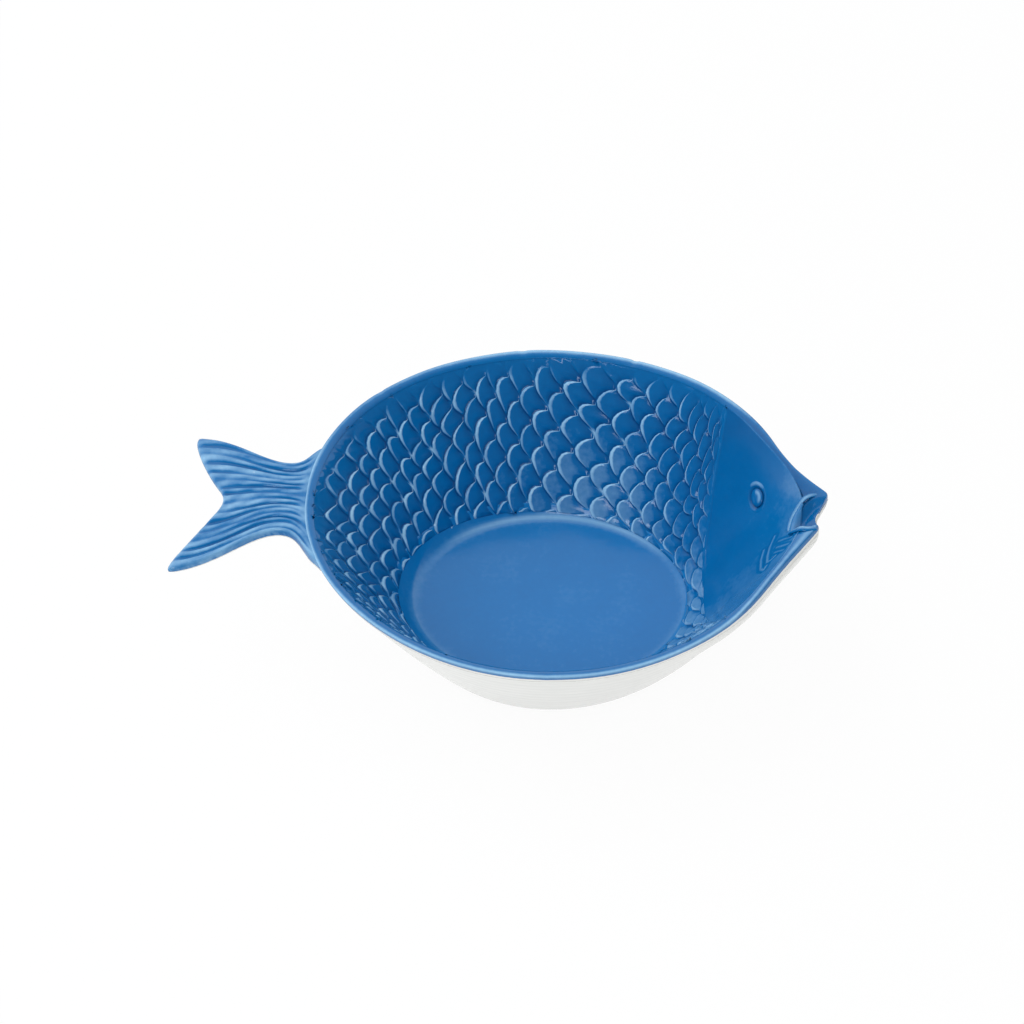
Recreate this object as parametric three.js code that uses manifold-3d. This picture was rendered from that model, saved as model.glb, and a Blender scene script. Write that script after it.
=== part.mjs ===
// Fish-shaped serving bowl. Millimetres, +Z up, mouth toward +X, tail toward -X.
import * as THREE from 'three';
import { mergeVertices } from 'three/addons/utils/BufferGeometryUtils.js';
import Module from 'manifold-3d';

const wasm = await Module();
wasm.setup();

// Oval of the bowl: half lengths along the fish and across it
const RIM_HALF_LENGTH = 145.4;
const RIM_HALF_WIDTH = 128.9;
const RIM_Z = 96;
const RIM_THICKNESS = 6;
const BEAD_HEIGHT = 6;
const BEAD_ROUNDING = 4;
const BEAD_STEPS = [0, 0.33, 0.67, 0.88];
const FLOOR_HALF_LENGTH = 79;
const FLOOR_HALF_WIDTH = 62.6;
const FLOOR_Z = 12;
const COVE_SOFTNESS = 0.12;
const BASE_HALF_LENGTH = 84;
const BASE_HALF_WIDTH = 76;
const WALL_FULLNESS = 1.15;

// The outline swells into a snout where |sin(theta)| is below the spread
const SNOUT_REACH = 13;
const SNOUT_SPREAD = 0.45;

const FOOT_HEIGHT = 3;
const FOOT_WIDTH = 8;
const FOOT_INSET = 4;

// Glazed lining laid inside the white body
const LINING_THICKNESS = 2;
const CLEARANCE = 0.35;
const LINING_LOW = 0.1;
const LINING_TOP_DROP = 0.9;
const TRIM_REACH = 8;

// Overlapping scales: step along the fish, span across, depth of the carving
const SCALE_PITCH = 6.45;
const SCALE_SPAN = 25;
const SCALE_CREST = 0.9;
const SCALE_VALLEY = -0.6;
const SCALE_BACK = -4;
const SCALE_COLUMNS = 43;
const SCALE_HALF_ROWS = 16;
const SCALE_START_X = 123;
const SHOULDER_SHARE = 0.75;
const ROW_SAG = 20;
const ROW_SAG_LENGTH = 50;
const ROW_SAG_SPAN = 2;

// Gill line: a ridge that parts the scales from the smooth head. It bows toward the mouth
// by this much at the widest part of the rim.
const GILL_X = 95.5;
const GILL_BOW = 12.4;
const GILL_WIDTH = 3;
const GILL_PROUD = 1.2;

const EYE_THETA = 0.288;
const EYE_LEVEL = 0.733;
const EYE_RADIUS = 5.4;
const EYE_HEIGHT = 2.4;
const EYE_RING_INNER = 6.2;
const EYE_RING_OUTER = 8.8;
const EYE_RING_HEIGHT = 1.7;
const EYE_SINK = 0.9;

const LIP_RADIUS = 4.8;
const LIP_END_RADIUS = 3.2;
const MOUTH_CORNER_THETA = -0.036;
const MOUTH_CORNER_LEVEL = 0.845;
const UPPER_LIP_THETA = 0.085;
const LOWER_LIP_THETA = -0.125;
const LIP_DROP = 4.6;
const UPPER_LIP_TIP = new THREE.Vector3(RIM_HALF_LENGTH + SNOUT_REACH, 11, RIM_Z - LIP_DROP);
const LOWER_LIP_SETBACK = 3.4;
const LOWER_LIP_TIP = UPPER_LIP_TIP.clone().setY(-16.2)
  .add(new THREE.Vector3(-LOWER_LIP_SETBACK, 0, 0));
const LIP_PROUD = -1.6;
const LIP_RIM_LEVEL = 0.95;
const MOUTH_CUT_DEPTH = 12.4;
const LIP_BLUNTNESS = 0.35;
const LIP_ROUNDING = 5;

// Tail fin, placed from the tail end of the rim: x is measured back from there
const TAIL_DROP = 1;
const TAIL_ROOT_THICKNESS = 8;
const TAIL_TIP_THICKNESS = 5;
const TAIL_RIBS = 13;
const RIB_DEPTH = 1.5;
const RIB_SAMPLES = 4;
const TAIL_STATIONS = 7;
const behindRim = (back, side) => new THREE.Vector2(-RIM_HALF_LENGTH - back, side);
const LOWER_EDGE = [behindRim(-11, -46), behindRim(8, 8), behindRim(42, -40)];
const UPPER_EDGE = [behindRim(-11, 46), behindRim(10, 16), behindRim(31, 54)];
const LOWER_TAIL_TIP = behindRim(77.2, -49);
const TAIL_FORK = behindRim(44.6, 7.4);
const UPPER_TAIL_BULGE = behindRim(57.8, 28);
const UPPER_TAIL_TIP = behindRim(60, 52.5);

const AROUND = 64;
const WALL_ROWS = 6;
const SECTION_STEP = 2;
const NEAR = 1e-3;

const lerp = THREE.MathUtils.lerp;

// Body with its faces turned outward, ready to be joined or cut
function solid(points, index) {
  let volume = 0;
  for (let k = 0; k < index.length; k += 3) {
    const [a, b, c] = [points[index[k]], points[index[k + 1]], points[index[k + 2]]];
    volume += a.dot(b.clone().cross(c));
  }
  const turned = volume > 0 ? index : index.slice().reverse();
  const vertProperties = new Float32Array(points.flatMap((p) => [p.x, p.y, p.z]));
  const triVerts = new Uint32Array(turned);
  return new wasm.Manifold(new wasm.Mesh({ numProp: 3, vertProperties, triVerts }));
}

// A cut can leave a loose crumb of a raised edge; the body proper is the largest piece
function withoutCrumbs(body) {
  const pieces = body.decompose();
  return pieces.reduce((best, piece) => (piece.volume() > best.volume() ? piece : best));
}

function fromGeometry(source) {
  const bare = source.clone();
  bare.deleteAttribute('normal');
  bare.deleteAttribute('uv');
  const merged = mergeVertices(bare, NEAR);
  const at = merged.getAttribute('position');
  const points = [];
  for (let k = 0; k < at.count; k++) {
    points.push(new THREE.Vector3().fromBufferAttribute(at, k));
  }
  return solid(points, Array.from(merged.index.array));
}

// Skin over rings of equal length. A looped skin joins its last ring to its first;
// any other is closed by a fan at each end.
function skin(rings, looped) {
  const count = rings[0].length;
  const points = rings.flat();
  const index = [];
  const bands = looped ? rings.length : rings.length - 1;
  for (let row = 0; row < bands; row++) {
    const next = (row + 1) % rings.length;
    for (let k = 0; k < count; k++) {
      const beside = (k + 1) % count;
      const [a, b] = [row * count + k, row * count + beside];
      const [c, d] = [next * count + beside, next * count + k];
      index.push(a, b, c, a, c, d);
    }
  }
  if (!looped) {
    const middle = (ring) => ring.reduce((sum, p) => sum.add(p), new THREE.Vector3())
      .divideScalar(count);
    const first = points.push(middle(rings[0])) - 1;
    const last = points.push(middle(rings[rings.length - 1])) - 1;
    const end = (rings.length - 1) * count;
    for (let k = 0; k < count; k++) {
      const beside = (k + 1) % count;
      index.push(first, beside, k, last, end + k, end + beside);
    }
  }
  return solid(points, index);
}

// Slab between two grids of equal size, closed along its four sides
function slab(top, bottom) {
  const columns = top[0].length;
  const rows = top.length;
  const points = [...top.flat(), ...bottom.flat()];
  const under = rows * columns;
  const index = [];
  const quad = (a, b, c, d) => index.push(a, b, c, a, c, d);
  for (let i = 0; i < rows - 1; i++) {
    for (let j = 0; j < columns - 1; j++) {
      const a = i * columns + j;
      const d = a + columns;
      quad(a, a + 1, d + 1, d);
      quad(under + a, under + d, under + d + 1, under + a + 1);
    }
  }
  const wall = (a, b) => quad(b, a, under + a, under + b);
  for (let j = 0; j < columns - 1; j++) {
    wall(j, j + 1);
    wall((rows - 1) * columns + j + 1, (rows - 1) * columns + j);
  }
  for (let i = 0; i < rows - 1; i++) {
    wall((i + 1) * columns, i * columns);
    wall(i * columns + columns - 1, (i + 1) * columns + columns - 1);
  }
  return solid(points, index);
}

function prism(shape, low, high) {
  const geometry = new THREE.ExtrudeGeometry(shape, {
    depth: high - low, bevelEnabled: false, curveSegments: 28,
  });
  return fromGeometry(geometry.translate(0, 0, low));
}

function snout(theta) {
  const side = Math.abs(Math.sin(theta)) / SNOUT_SPREAD;
  return side < 1 && Math.cos(theta) > 0 ? SNOUT_REACH * (1 - side * side) ** 2 : 0;
}

const around = (make) => Array.from({ length: AROUND }, (_, k) => make(2 * Math.PI * k / AROUND));

// Outside of the wall; level runs from 0 at the base to 1 at the rim
function outerPoint(theta, level) {
  return new THREE.Vector3(
    lerp(BASE_HALF_LENGTH, RIM_HALF_LENGTH, level) * Math.cos(theta) + snout(theta) * level,
    lerp(BASE_HALF_WIDTH, RIM_HALF_WIDTH, level) * Math.sin(theta),
    lerp(FOOT_HEIGHT, RIM_Z, level ** WALL_FULLNESS),
  );
}
const outerLevel = (z) => ((z - FOOT_HEIGHT) / (RIM_Z - FOOT_HEIGHT)) ** (1 / WALL_FULLNESS);

// Inside of the bowl: flat below level 0, a soft cove, then a straight slope to the rim at 1
const coveRise = Math.hypot(1, COVE_SOFTNESS) - COVE_SOFTNESS;
function innerHeight(level) {
  if (level <= 0) return FLOOR_Z;
  const rise = (Math.hypot(level, COVE_SOFTNESS) - COVE_SOFTNESS) / coveRise;
  return lerp(FLOOR_Z, RIM_Z, rise);
}
function innerLevel(z) {
  const rise = (z - FLOOR_Z) / (RIM_Z - FLOOR_Z) * coveRise + COVE_SOFTNESS;
  return Math.sqrt(rise * rise - COVE_SOFTNESS * COVE_SOFTNESS);
}
function ovalHalves(level) {
  if (level < 0) return [FLOOR_HALF_LENGTH * (1 + level), FLOOR_HALF_WIDTH * (1 + level)];
  return [
    lerp(FLOOR_HALF_LENGTH, RIM_HALF_LENGTH - RIM_THICKNESS, level),
    lerp(FLOOR_HALF_WIDTH, RIM_HALF_WIDTH - RIM_THICKNESS, level),
  ];
}
function innerSurface(theta, level) {
  const [halfLength, halfWidth] = ovalHalves(level);
  return new THREE.Vector3(
    halfLength * Math.cos(theta) + snout(theta) * Math.max(level, 0),
    halfWidth * Math.sin(theta),
    innerHeight(level),
  );
}
// Point held off the inside face: positive into the bowl, negative into the wall
function innerPoint(theta, level, off) {
  const at = innerSurface(theta, level);
  const up = innerSurface(theta, level + NEAR).sub(innerSurface(theta, level - NEAR));
  const along = innerSurface(theta + NEAR, level).sub(innerSurface(theta - NEAR, level));
  const normal = up.cross(along).normalize();
  return at.addScaledVector(normal.z < 0 ? normal.negate() : normal, off);
}
const innerRing = (level, off) => around((theta) => innerPoint(theta, level, off));
const levels = (low, high) => Array.from({ length: WALL_ROWS + 1 },
  (_, k) => lerp(low, high, (k / WALL_ROWS) ** 1.4));

const SHELL_TOP = RIM_Z - BEAD_HEIGHT;
const LINING_HIGH = innerLevel(SHELL_TOP - LINING_TOP_DROP);

// Layer of the inside wall between two offsets
function lining(back, front) {
  const steps = levels(LINING_LOW, LINING_HIGH);
  const outside = steps.map((level) => innerRing(level, back));
  const inside = steps.slice().reverse().map((level) => innerRing(level, front));
  return skin([...outside, ...inside], true);
}

const BED = -LINING_THICKNESS - CLEARANCE;
const COVE_LEVELS = [0, 0.4, 0.7].map((share) => share * LINING_LOW);

function outerShell() {
  const outside = levels(0, outerLevel(SHELL_TOP));
  const inside = [...COVE_LEVELS, ...levels(LINING_LOW, LINING_HIGH)].reverse();
  const lip = innerRing(innerLevel(SHELL_TOP), BED).map((p) => p.setZ(SHELL_TOP));
  return skin([
    ...outside.map((level) => around((theta) => outerPoint(theta, level))),
    lip,
    ...inside.map((level) => innerRing(level, BED)),
  ], false);
}

function footRing() {
  const ring = new THREE.Shape();
  const length = BASE_HALF_LENGTH - FOOT_INSET;
  const width = BASE_HALF_WIDTH - FOOT_INSET;
  ring.absellipse(0, 0, length, width, 0, 2 * Math.PI);
  const hollow = new THREE.Path();
  hollow.absellipse(0, 0, length - FOOT_WIDTH, width - FOOT_WIDTH, 0, 2 * Math.PI, true);
  ring.holes.push(hollow);
  return prism(ring, 0, FOOT_HEIGHT);
}

function wellFloor() {
  const edge = LINING_LOW - CLEARANCE / (RIM_HALF_WIDTH - FLOOR_HALF_WIDTH);
  const steps = [...COVE_LEVELS, edge];
  return skin([
    ...steps.map((level) => innerRing(level, -LINING_THICKNESS)),
    ...steps.slice().reverse().map((level) => innerRing(level, 0)),
  ], false);
}

// Plan outline of everything between two parallels of the gill line
function gillBand(from, to) {
  const far = 2 * RIM_HALF_WIDTH;
  const bow = GILL_BOW * (far / RIM_HALF_WIDTH) ** 2;
  const band = new THREE.Shape();
  band.moveTo(GILL_X + from + bow, -far);
  band.quadraticCurveTo(GILL_X + from - bow, 0, GILL_X + from + bow, far);
  band.lineTo(GILL_X + to + bow, far);
  band.quadraticCurveTo(GILL_X + to - bow, 0, GILL_X + to + bow, -far);
  return prism(band, 0, 2 * RIM_Z);
}

// Height of the inside face over a plan point clear of the snout
function levelAt(x, y) {
  let low = -1;
  let high = 3;
  while (high - low > NEAR * NEAR) {
    const level = (low + high) / 2;
    const [halfLength, halfWidth] = ovalHalves(level);
    if ((x / halfLength) ** 2 + (y / halfWidth) ** 2 > 1) low = level;
    else high = level;
  }
  return Math.max(low, 0);
}
const heightAt = (x, y) => innerHeight(levelAt(x, y));

// Distance walked over the inside face from the middle line, sampled along one column
function sectionWalk(x) {
  const walk = [{ y: 0, s: 0 }];
  let before = heightAt(x, 0);
  for (let y = SECTION_STEP; y < 1.4 * RIM_HALF_WIDTH; y += SECTION_STEP) {
    const here = heightAt(x, y);
    walk.push({ y, s: walk[walk.length - 1].s + Math.hypot(SECTION_STEP, here - before) });
    before = here;
  }
  return walk;
}
const walks = new Map();
function sidewaysAt(x, s) {
  const key = x.toFixed(3);
  if (!walks.has(key)) walks.set(key, sectionWalk(x));
  const walk = walks.get(key);
  let k = 1;
  while (k < walk.length - 1 && walk[k].s < Math.abs(s)) k += 1;
  const share = (Math.abs(s) - walk[k - 1].s) / (walk[k].s - walk[k - 1].s);
  return Math.sign(s) * lerp(walk[k - 1].y, walk[k].y, share);
}

// Place on the inside face for a column number and a half-row number of the scales
function scalePlace(column, halfRow, off) {
  const x = SCALE_START_X - SCALE_PITCH * column;
  const row = halfRow / 2;
  const bow = ROW_SAG * x * x / (x * x + ROW_SAG_LENGTH * ROW_SAG_LENGTH);
  const held = row * Math.abs(row) / (row * row + ROW_SAG_SPAN * ROW_SAG_SPAN);
  const y = sidewaysAt(x, SCALE_SPAN * row - bow * held);
  const slopeX = (heightAt(x + NEAR, y) - heightAt(x - NEAR, y)) / (2 * NEAR);
  const slopeY = (heightAt(x, y + NEAR) - heightAt(x, y - NEAR)) / (2 * NEAR);
  const normal = new THREE.Vector3(-slopeX, -slopeY, 1).normalize();
  return new THREE.Vector3(x, y, heightAt(x, y)).addScaledVector(normal, off);
}

// Sheet of scales, each a half oval that stands proud at its tail side and dips under the
// two scales ahead of it. Its free edge is a step that fades out at both ends.
function scaleSheet() {
  const points = [];
  const found = new Map();
  const index = [];
  const shoulder = lerp(SCALE_VALLEY, SCALE_CREST, SHOULDER_SHARE);
  const bend = Math.SQRT1_2;
  const vertex = (column, halfRow, off) => {
    const key = `${column.toFixed(2)} ${halfRow.toFixed(2)} ${off}`;
    if (!found.has(key)) {
      const back = points.push(scalePlace(column, halfRow, off)) - 1;
      found.set(key, back);
    }
    return found.get(key);
  };
  const corner = (i, r, off) => vertex(i, r, off);
  const middle = (i, r, side, off) => vertex(i + bend, r + side * bend, off);
  const scale = (i, r, deep) => {
    const low = deep ?? SCALE_VALLEY;
    const near = corner(i, r - 1, low);
    const far = corner(i, r + 1, low);
    const tip = corner(i + 1, r, deep ?? SCALE_CREST);
    const nearArc = middle(i, r, -1, deep ?? shoulder);
    const farArc = middle(i, r, 1, deep ?? shoulder);
    const head = corner(i - 1, r, low);
    const nearHead = middle(i - 1, r - 1, 1, low);
    const farHead = middle(i - 1, r + 1, -1, low);
    return [
      near, nearArc, nearHead, nearArc, tip, nearHead, tip, farHead, nearHead,
      tip, farArc, farHead, farArc, far, farHead, farHead, head, nearHead,
    ];
  };
  const step = (i, r) => {
    const near = corner(i, r - 1, SCALE_VALLEY);
    const far = corner(i, r + 1, SCALE_VALLEY);
    const tip = corner(i + 1, r, SCALE_CREST);
    const foot = corner(i + 1, r, SCALE_VALLEY);
    const nearArc = middle(i, r, -1, shoulder);
    const farArc = middle(i, r, 1, shoulder);
    const nearFoot = middle(i, r, -1, SCALE_VALLEY);
    const farFoot = middle(i, r, 1, SCALE_VALLEY);
    return [
      nearArc, near, nearFoot, tip, nearArc, nearFoot, tip, nearFoot, foot,
      farArc, tip, farFoot, far, farArc, farFoot, tip, foot, farFoot,
    ];
  };
  for (let i = 0; i < SCALE_COLUMNS; i++) {
    for (let r = -SCALE_HALF_ROWS; r <= SCALE_HALF_ROWS; r++) {
      if ((i + r) % 2 !== 0) continue;
      index.push(...scale(i, r), ...step(i, r), ...scale(i, r, SCALE_BACK).reverse());
    }
  }
  return closeSides(points, index, found);
}

// Joins the open edges of a sheet's front to the matching edges of its back
function closeSides(points, index, found) {
  const behind = new Map();
  for (const [key, at] of found) {
    const [column, halfRow, off] = key.split(' ');
    if (Number(off) !== SCALE_BACK) behind.set(at, found.get(`${column} ${halfRow} ${SCALE_BACK}`));
  }
  const edges = new Set();
  for (let k = 0; k < index.length; k += 3) {
    for (let e = 0; e < 3; e++) edges.add(`${index[k + e]} ${index[k + (e + 1) % 3]}`);
  }
  const walls = [];
  for (const edge of edges) {
    const [a, b] = edge.split(' ').map(Number);
    if (edges.has(`${b} ${a}`) || !behind.has(a)) continue;
    walls.push(b, a, behind.get(a), b, behind.get(a), behind.get(b));
  }
  return solid(points, [...index, ...walls]);
}

function placeOnWall(theta, level, off) {
  const at = innerPoint(theta, level, off);
  const normal = innerPoint(theta, level, off + TRIM_REACH).sub(at).normalize();
  const turn = new THREE.Quaternion().setFromUnitVectors(new THREE.Vector3(0, 0, 1), normal);
  return (x, y, z) => new THREE.Vector3(x, y, z).applyQuaternion(turn).add(at);
}

const ROUND = 20;
function disc(place, profile, looped) {
  return skin(profile.map(([radius, z]) => Array.from({ length: ROUND }, (_, k) => {
    const angle = 2 * Math.PI * k / ROUND;
    return place(radius * Math.cos(angle), radius * Math.sin(angle), z);
  })), looped);
}

const eyePlace = placeOnWall(EYE_THETA, EYE_LEVEL, -EYE_SINK);

function eyePellet() {
  const profile = [[EYE_RADIUS, CLEARANCE]];
  for (let k = 1; k < 5; k++) {
    const lift = Math.PI / 2 * k / 5;
    profile.push([EYE_RADIUS * Math.cos(lift), CLEARANCE + EYE_HEIGHT * Math.sin(lift)]);
  }
  return disc(eyePlace, profile, false);
}

function eyeRing() {
  const half = (EYE_RING_OUTER - EYE_RING_INNER) / 2;
  const profile = [];
  for (let k = 0; k <= 6; k++) {
    const turn = Math.PI * k / 6;
    const radius = EYE_RING_INNER + half + half * Math.cos(turn);
    profile.push([radius, CLEARANCE + EYE_RING_HEIGHT * Math.sin(turn)]);
  }
  return disc(eyePlace, profile, true);
}

function eyePocket() {
  const radius = EYE_RING_OUTER + CLEARANCE;
  return disc(eyePlace, [[radius, 0], [radius, TRIM_REACH]], false);
}

// Bead that thins along a curve, closed at both ends
function bead(curve, startRadius, endRadius) {
  const stations = 10;
  const sides = 10;
  const frames = curve.computeFrenetFrames(stations, false);
  const rings = curve.getPoints(stations).map((at, k) => {
    const share = k / stations;
    const tipShare = Math.sqrt(Math.min(1, LIP_BLUNTNESS + LIP_ROUNDING * share));
    const radius = lerp(startRadius, endRadius, share) * tipShare;
    return Array.from({ length: sides }, (_, n) => {
      const angle = 2 * Math.PI * n / sides;
      return at.clone()
        .addScaledVector(frames.normals[k], radius * Math.cos(angle))
        .addScaledVector(frames.binormals[k], radius * Math.sin(angle));
    });
  });
  return skin(rings, false);
}

// Centre line of a lip, from its tip past the rim to the corner of the mouth
function lipCurve(tip, theta, extra) {
  const corner = [MOUTH_CORNER_THETA, MOUTH_CORNER_LEVEL];
  const on = (share) => innerPoint(
    lerp(theta, corner[0], share ** 1.6), lerp(LIP_RIM_LEVEL, corner[1], share), LIP_PROUD);
  const start = tip.clone().sub(on(0)).setLength(extra).add(tip);
  return new THREE.CatmullRomCurve3([start, on(0), on(0.5), on(1)]);
}

// Everything the wall and its lining fill, grown by the clearance
function grownWall() {
  const outside = levels(0.3, outerLevel(SHELL_TOP));
  const grow = (p) => {
    const flat = Math.hypot(p.x, p.y);
    return new THREE.Vector3(p.x * (1 + CLEARANCE / flat), p.y * (1 + CLEARANCE / flat), p.z);
  };
  const inside = levels(0.3, LINING_HIGH).reverse();
  const top = (ring) => ring.map((p) => p.clone().setZ(SHELL_TOP + CLEARANCE));
  const outerRings = outside.map((level) => around((theta) => grow(outerPoint(theta, level))));
  const innerRings = inside.map((level) => innerRing(level, CLEARANCE));
  return skin([...outerRings, top(outerRings[WALL_ROWS]), top(innerRings[0]), ...innerRings], true);
}

function lips() {
  const wall = grownWall();
  const make = (tip, theta, grow) => bead(
    lipCurve(tip, theta, 4 * grow), LIP_RADIUS + 2 * grow, LIP_END_RADIUS + grow);
  const upper = withoutCrumbs(make(UPPER_LIP_TIP, UPPER_LIP_THETA, 0).subtract(wall));
  const upperRoom = make(UPPER_LIP_TIP, UPPER_LIP_THETA, CLEARANCE);
  const lower = withoutCrumbs(make(LOWER_LIP_TIP, LOWER_LIP_THETA, 0)
    .subtract(wall)
    .subtract(upperRoom));
  const lowerRoom = make(LOWER_LIP_TIP, LOWER_LIP_THETA, CLEARANCE);
  return { upper, lower, room: upperRoom.add(lowerRoom) };
}

function rimBead(lipRoom) {
  const ring = (z, side) => around((theta) => {
    const outer = outerPoint(theta, outerLevel(z));
    const inner = innerPoint(theta, innerLevel(z), 0);
    const above = Math.max(0, (z - RIM_Z + BEAD_ROUNDING) / BEAD_ROUNDING);
    const share = 0.5 + 0.5 * side * Math.sqrt(Math.max(0, 1 - above * above));
    return inner.lerp(outer, share).setZ(z);
  });
  const heights = BEAD_STEPS.map((share) => lerp(SHELL_TOP, RIM_Z, share));
  const band = skin([
    ...heights.map((z) => ring(z, 1)),
    ring(RIM_Z, 0),
    ...heights.slice().reverse().map((z) => ring(z, -1)),
  ], true);
  const mouth = new THREE.Shape();
  const back = RIM_HALF_LENGTH + SNOUT_REACH - MOUTH_CUT_DEPTH;
  mouth.moveTo(back, LOWER_LIP_TIP.y + LIP_RADIUS);
  mouth.lineTo(RIM_HALF_LENGTH + 2 * SNOUT_REACH, LOWER_LIP_TIP.y);
  mouth.lineTo(RIM_HALF_LENGTH + 2 * SNOUT_REACH, UPPER_LIP_TIP.y);
  mouth.lineTo(back, UPPER_LIP_TIP.y - LIP_RADIUS);
  const gap = prism(mouth, SHELL_TOP - TRIM_REACH, RIM_Z + TRIM_REACH);
  return withoutCrumbs(band.subtract(lipRoom).subtract(gap));
}

// Forked fin whose ribs fan from a narrow neck to the two lobes
function tailFin() {
  const samples = TAIL_RIBS * RIB_SAMPLES;
  const upperEnd = new THREE.QuadraticBezierCurve(TAIL_FORK, UPPER_TAIL_BULGE, UPPER_TAIL_TIP);
  const spot = (t, u) => {
    const [root, neck, lobe] = LOWER_EDGE.map((p, k) => p.clone().lerp(UPPER_EDGE[k], u));
    const end = u < 0.5 ? LOWER_TAIL_TIP.clone().lerp(TAIL_FORK, 2 * u) : upperEnd.getPoint(2 * u - 1);
    return new THREE.CubicBezierCurve(root, neck, lobe, end).getPoint(t);
  };
  const sheet = (height) => Array.from({ length: TAIL_STATIONS + 1 }, (_, i) => (
    Array.from({ length: samples + 1 }, (__, j) => {
      const [t, u] = [i / TAIL_STATIONS, j / samples];
      const at = spot(t, u);
      return new THREE.Vector3(at.x, at.y, RIM_Z - TAIL_DROP - height(t, u));
    })));
  const groove = (t, u) => RIB_DEPTH * Math.min(1, 3 * t) * Math.cos(Math.PI * TAIL_RIBS * u) ** 2;
  const bottom = sheet((t) => lerp(TAIL_ROOT_THICKNESS, TAIL_TIP_THICKNESS, t));
  return slab(sheet(groove), bottom).subtract(tailSeat());
}

// Room the bowl takes up at the tail, from the base to above the rim
function tailSeat() {
  const steps = levels(0, 1);
  const wide = steps.map((level) => around((theta) => {
    const p = outerPoint(theta, level);
    return p.setX(p.x * (1 + CLEARANCE / 100)).setY(p.y * (1 + CLEARANCE / 100));
  }));
  const above = wide[WALL_ROWS].map((p) => p.clone().setZ(RIM_Z + TRIM_REACH));
  return skin([...wide, above], false);
}

const whiteGlaze = () => new THREE.MeshStandardMaterial({
  color: '#e8e8e3', roughness: 0.28, metalness: 0,
});
const blueGlaze = (color) => new THREE.MeshStandardMaterial({ color, roughness: 0.18, metalness: 0 });
const bareClay = () => new THREE.MeshStandardMaterial({
  color: '#cdbfa8', roughness: 0.85, metalness: 0,
});

const bowl = new THREE.Group();
bowl.name = 'fish_bowl';

function addPart(name, body, material) {
  const mesh = body.getMesh();
  const geometry = new THREE.BufferGeometry();
  geometry.setAttribute('position', new THREE.Float32BufferAttribute(mesh.vertProperties, 3));
  geometry.setIndex(Array.from(mesh.triVerts));
  geometry.computeVertexNormals();
  const part = new THREE.Mesh(geometry, material);
  part.name = name;
  bowl.add(part);
}

const half = GILL_WIDTH / 2;
const far = 4 * RIM_HALF_LENGTH;
const mouthParts = lips();

addPart('outer_shell', outerShell(), whiteGlaze());
addPart('foot_ring', footRing(), bareClay());
addPart('well_floor', wellFloor(), blueGlaze('#3b76b4'));
addPart('scale_relief', withoutCrumbs(scaleSheet()
  .intersect(lining(-LINING_THICKNESS, TRIM_REACH))
  .intersect(gillBand(-far, -half - CLEARANCE))), blueGlaze('#2f6ba6'));
addPart('head_panel', lining(-LINING_THICKNESS, 0)
  .intersect(gillBand(half + CLEARANCE, far))
  .subtract(eyePocket()), blueGlaze('#0f5f9e'));
addPart('gill_ridge', lining(-LINING_THICKNESS, GILL_PROUD)
  .intersect(gillBand(-half, half)), blueGlaze('#5b93c6'));
addPart('rim_bead', rimBead(mouthParts.room), blueGlaze('#3f7db8'));
addPart('upper_lip', mouthParts.upper, blueGlaze('#2a72ad'));
addPart('lower_lip', mouthParts.lower, blueGlaze('#2a72ad'));
addPart('eye_ring', eyeRing(), blueGlaze('#1a669f'));
addPart('eye_pellet', eyePellet(), blueGlaze('#0d4f86'));
addPart('tail_fin', tailFin(), blueGlaze('#4a86bd'));

const box = new THREE.Box3().setFromObject(bowl);
const centre = box.getCenter(new THREE.Vector3());
for (const part of bowl.children) part.geometry.translate(-centre.x, -centre.y, -box.min.z);

export default bowl;
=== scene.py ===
"""Looks of a fish-shaped serving bowl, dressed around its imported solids.

Sizes inside the classes are millimetres in the fish's own frame: the origin lies under
the middle of the foot, +X points to the mouth, +Y to the back fin and +Z up. Pieces are
turned into metres in the frame of the solids when their meshes are made.
"""

import logging
import math
from dataclasses import dataclass
from enum import Enum
from typing import Any, Callable, Sequence

import bmesh
import bpy
import numpy as np
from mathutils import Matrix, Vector


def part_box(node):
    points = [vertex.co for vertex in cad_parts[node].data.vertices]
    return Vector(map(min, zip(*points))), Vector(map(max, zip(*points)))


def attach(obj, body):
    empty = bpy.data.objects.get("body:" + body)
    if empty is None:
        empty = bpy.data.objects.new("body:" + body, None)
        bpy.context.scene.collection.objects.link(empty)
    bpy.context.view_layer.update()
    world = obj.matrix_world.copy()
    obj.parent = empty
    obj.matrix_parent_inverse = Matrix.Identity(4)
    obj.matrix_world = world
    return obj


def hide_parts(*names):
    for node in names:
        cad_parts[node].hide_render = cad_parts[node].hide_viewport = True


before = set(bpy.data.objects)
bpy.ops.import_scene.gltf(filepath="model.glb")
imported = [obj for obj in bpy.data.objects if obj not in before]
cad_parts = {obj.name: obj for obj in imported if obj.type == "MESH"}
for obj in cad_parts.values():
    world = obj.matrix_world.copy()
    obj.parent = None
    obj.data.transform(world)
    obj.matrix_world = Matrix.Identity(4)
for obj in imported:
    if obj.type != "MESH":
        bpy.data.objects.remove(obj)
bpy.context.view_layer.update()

log = logging.getLogger("fish_bowl")

MM = 0.001
BODY = "root"
WELD = 2e-5

Array = np.ndarray
Line = tuple[tuple[float, float], ...]
Profile = Callable[[Array, Array], tuple[Array, Array]]


class Layer(Enum):
    """Per-point values that the glazes read from a mesh."""

    # glaze runs from pooled, dark glaze at -1 to thin, pale glaze at 1; some pieces also put
    # painted highlights, painted sheen and painted shade in it
    GLAZE = "glaze"
    WHITE = "white"


class Side(Enum):
    """Sides of the fish, by the sign of the places across it."""

    BELLY = -1
    BACK = 1


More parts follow.
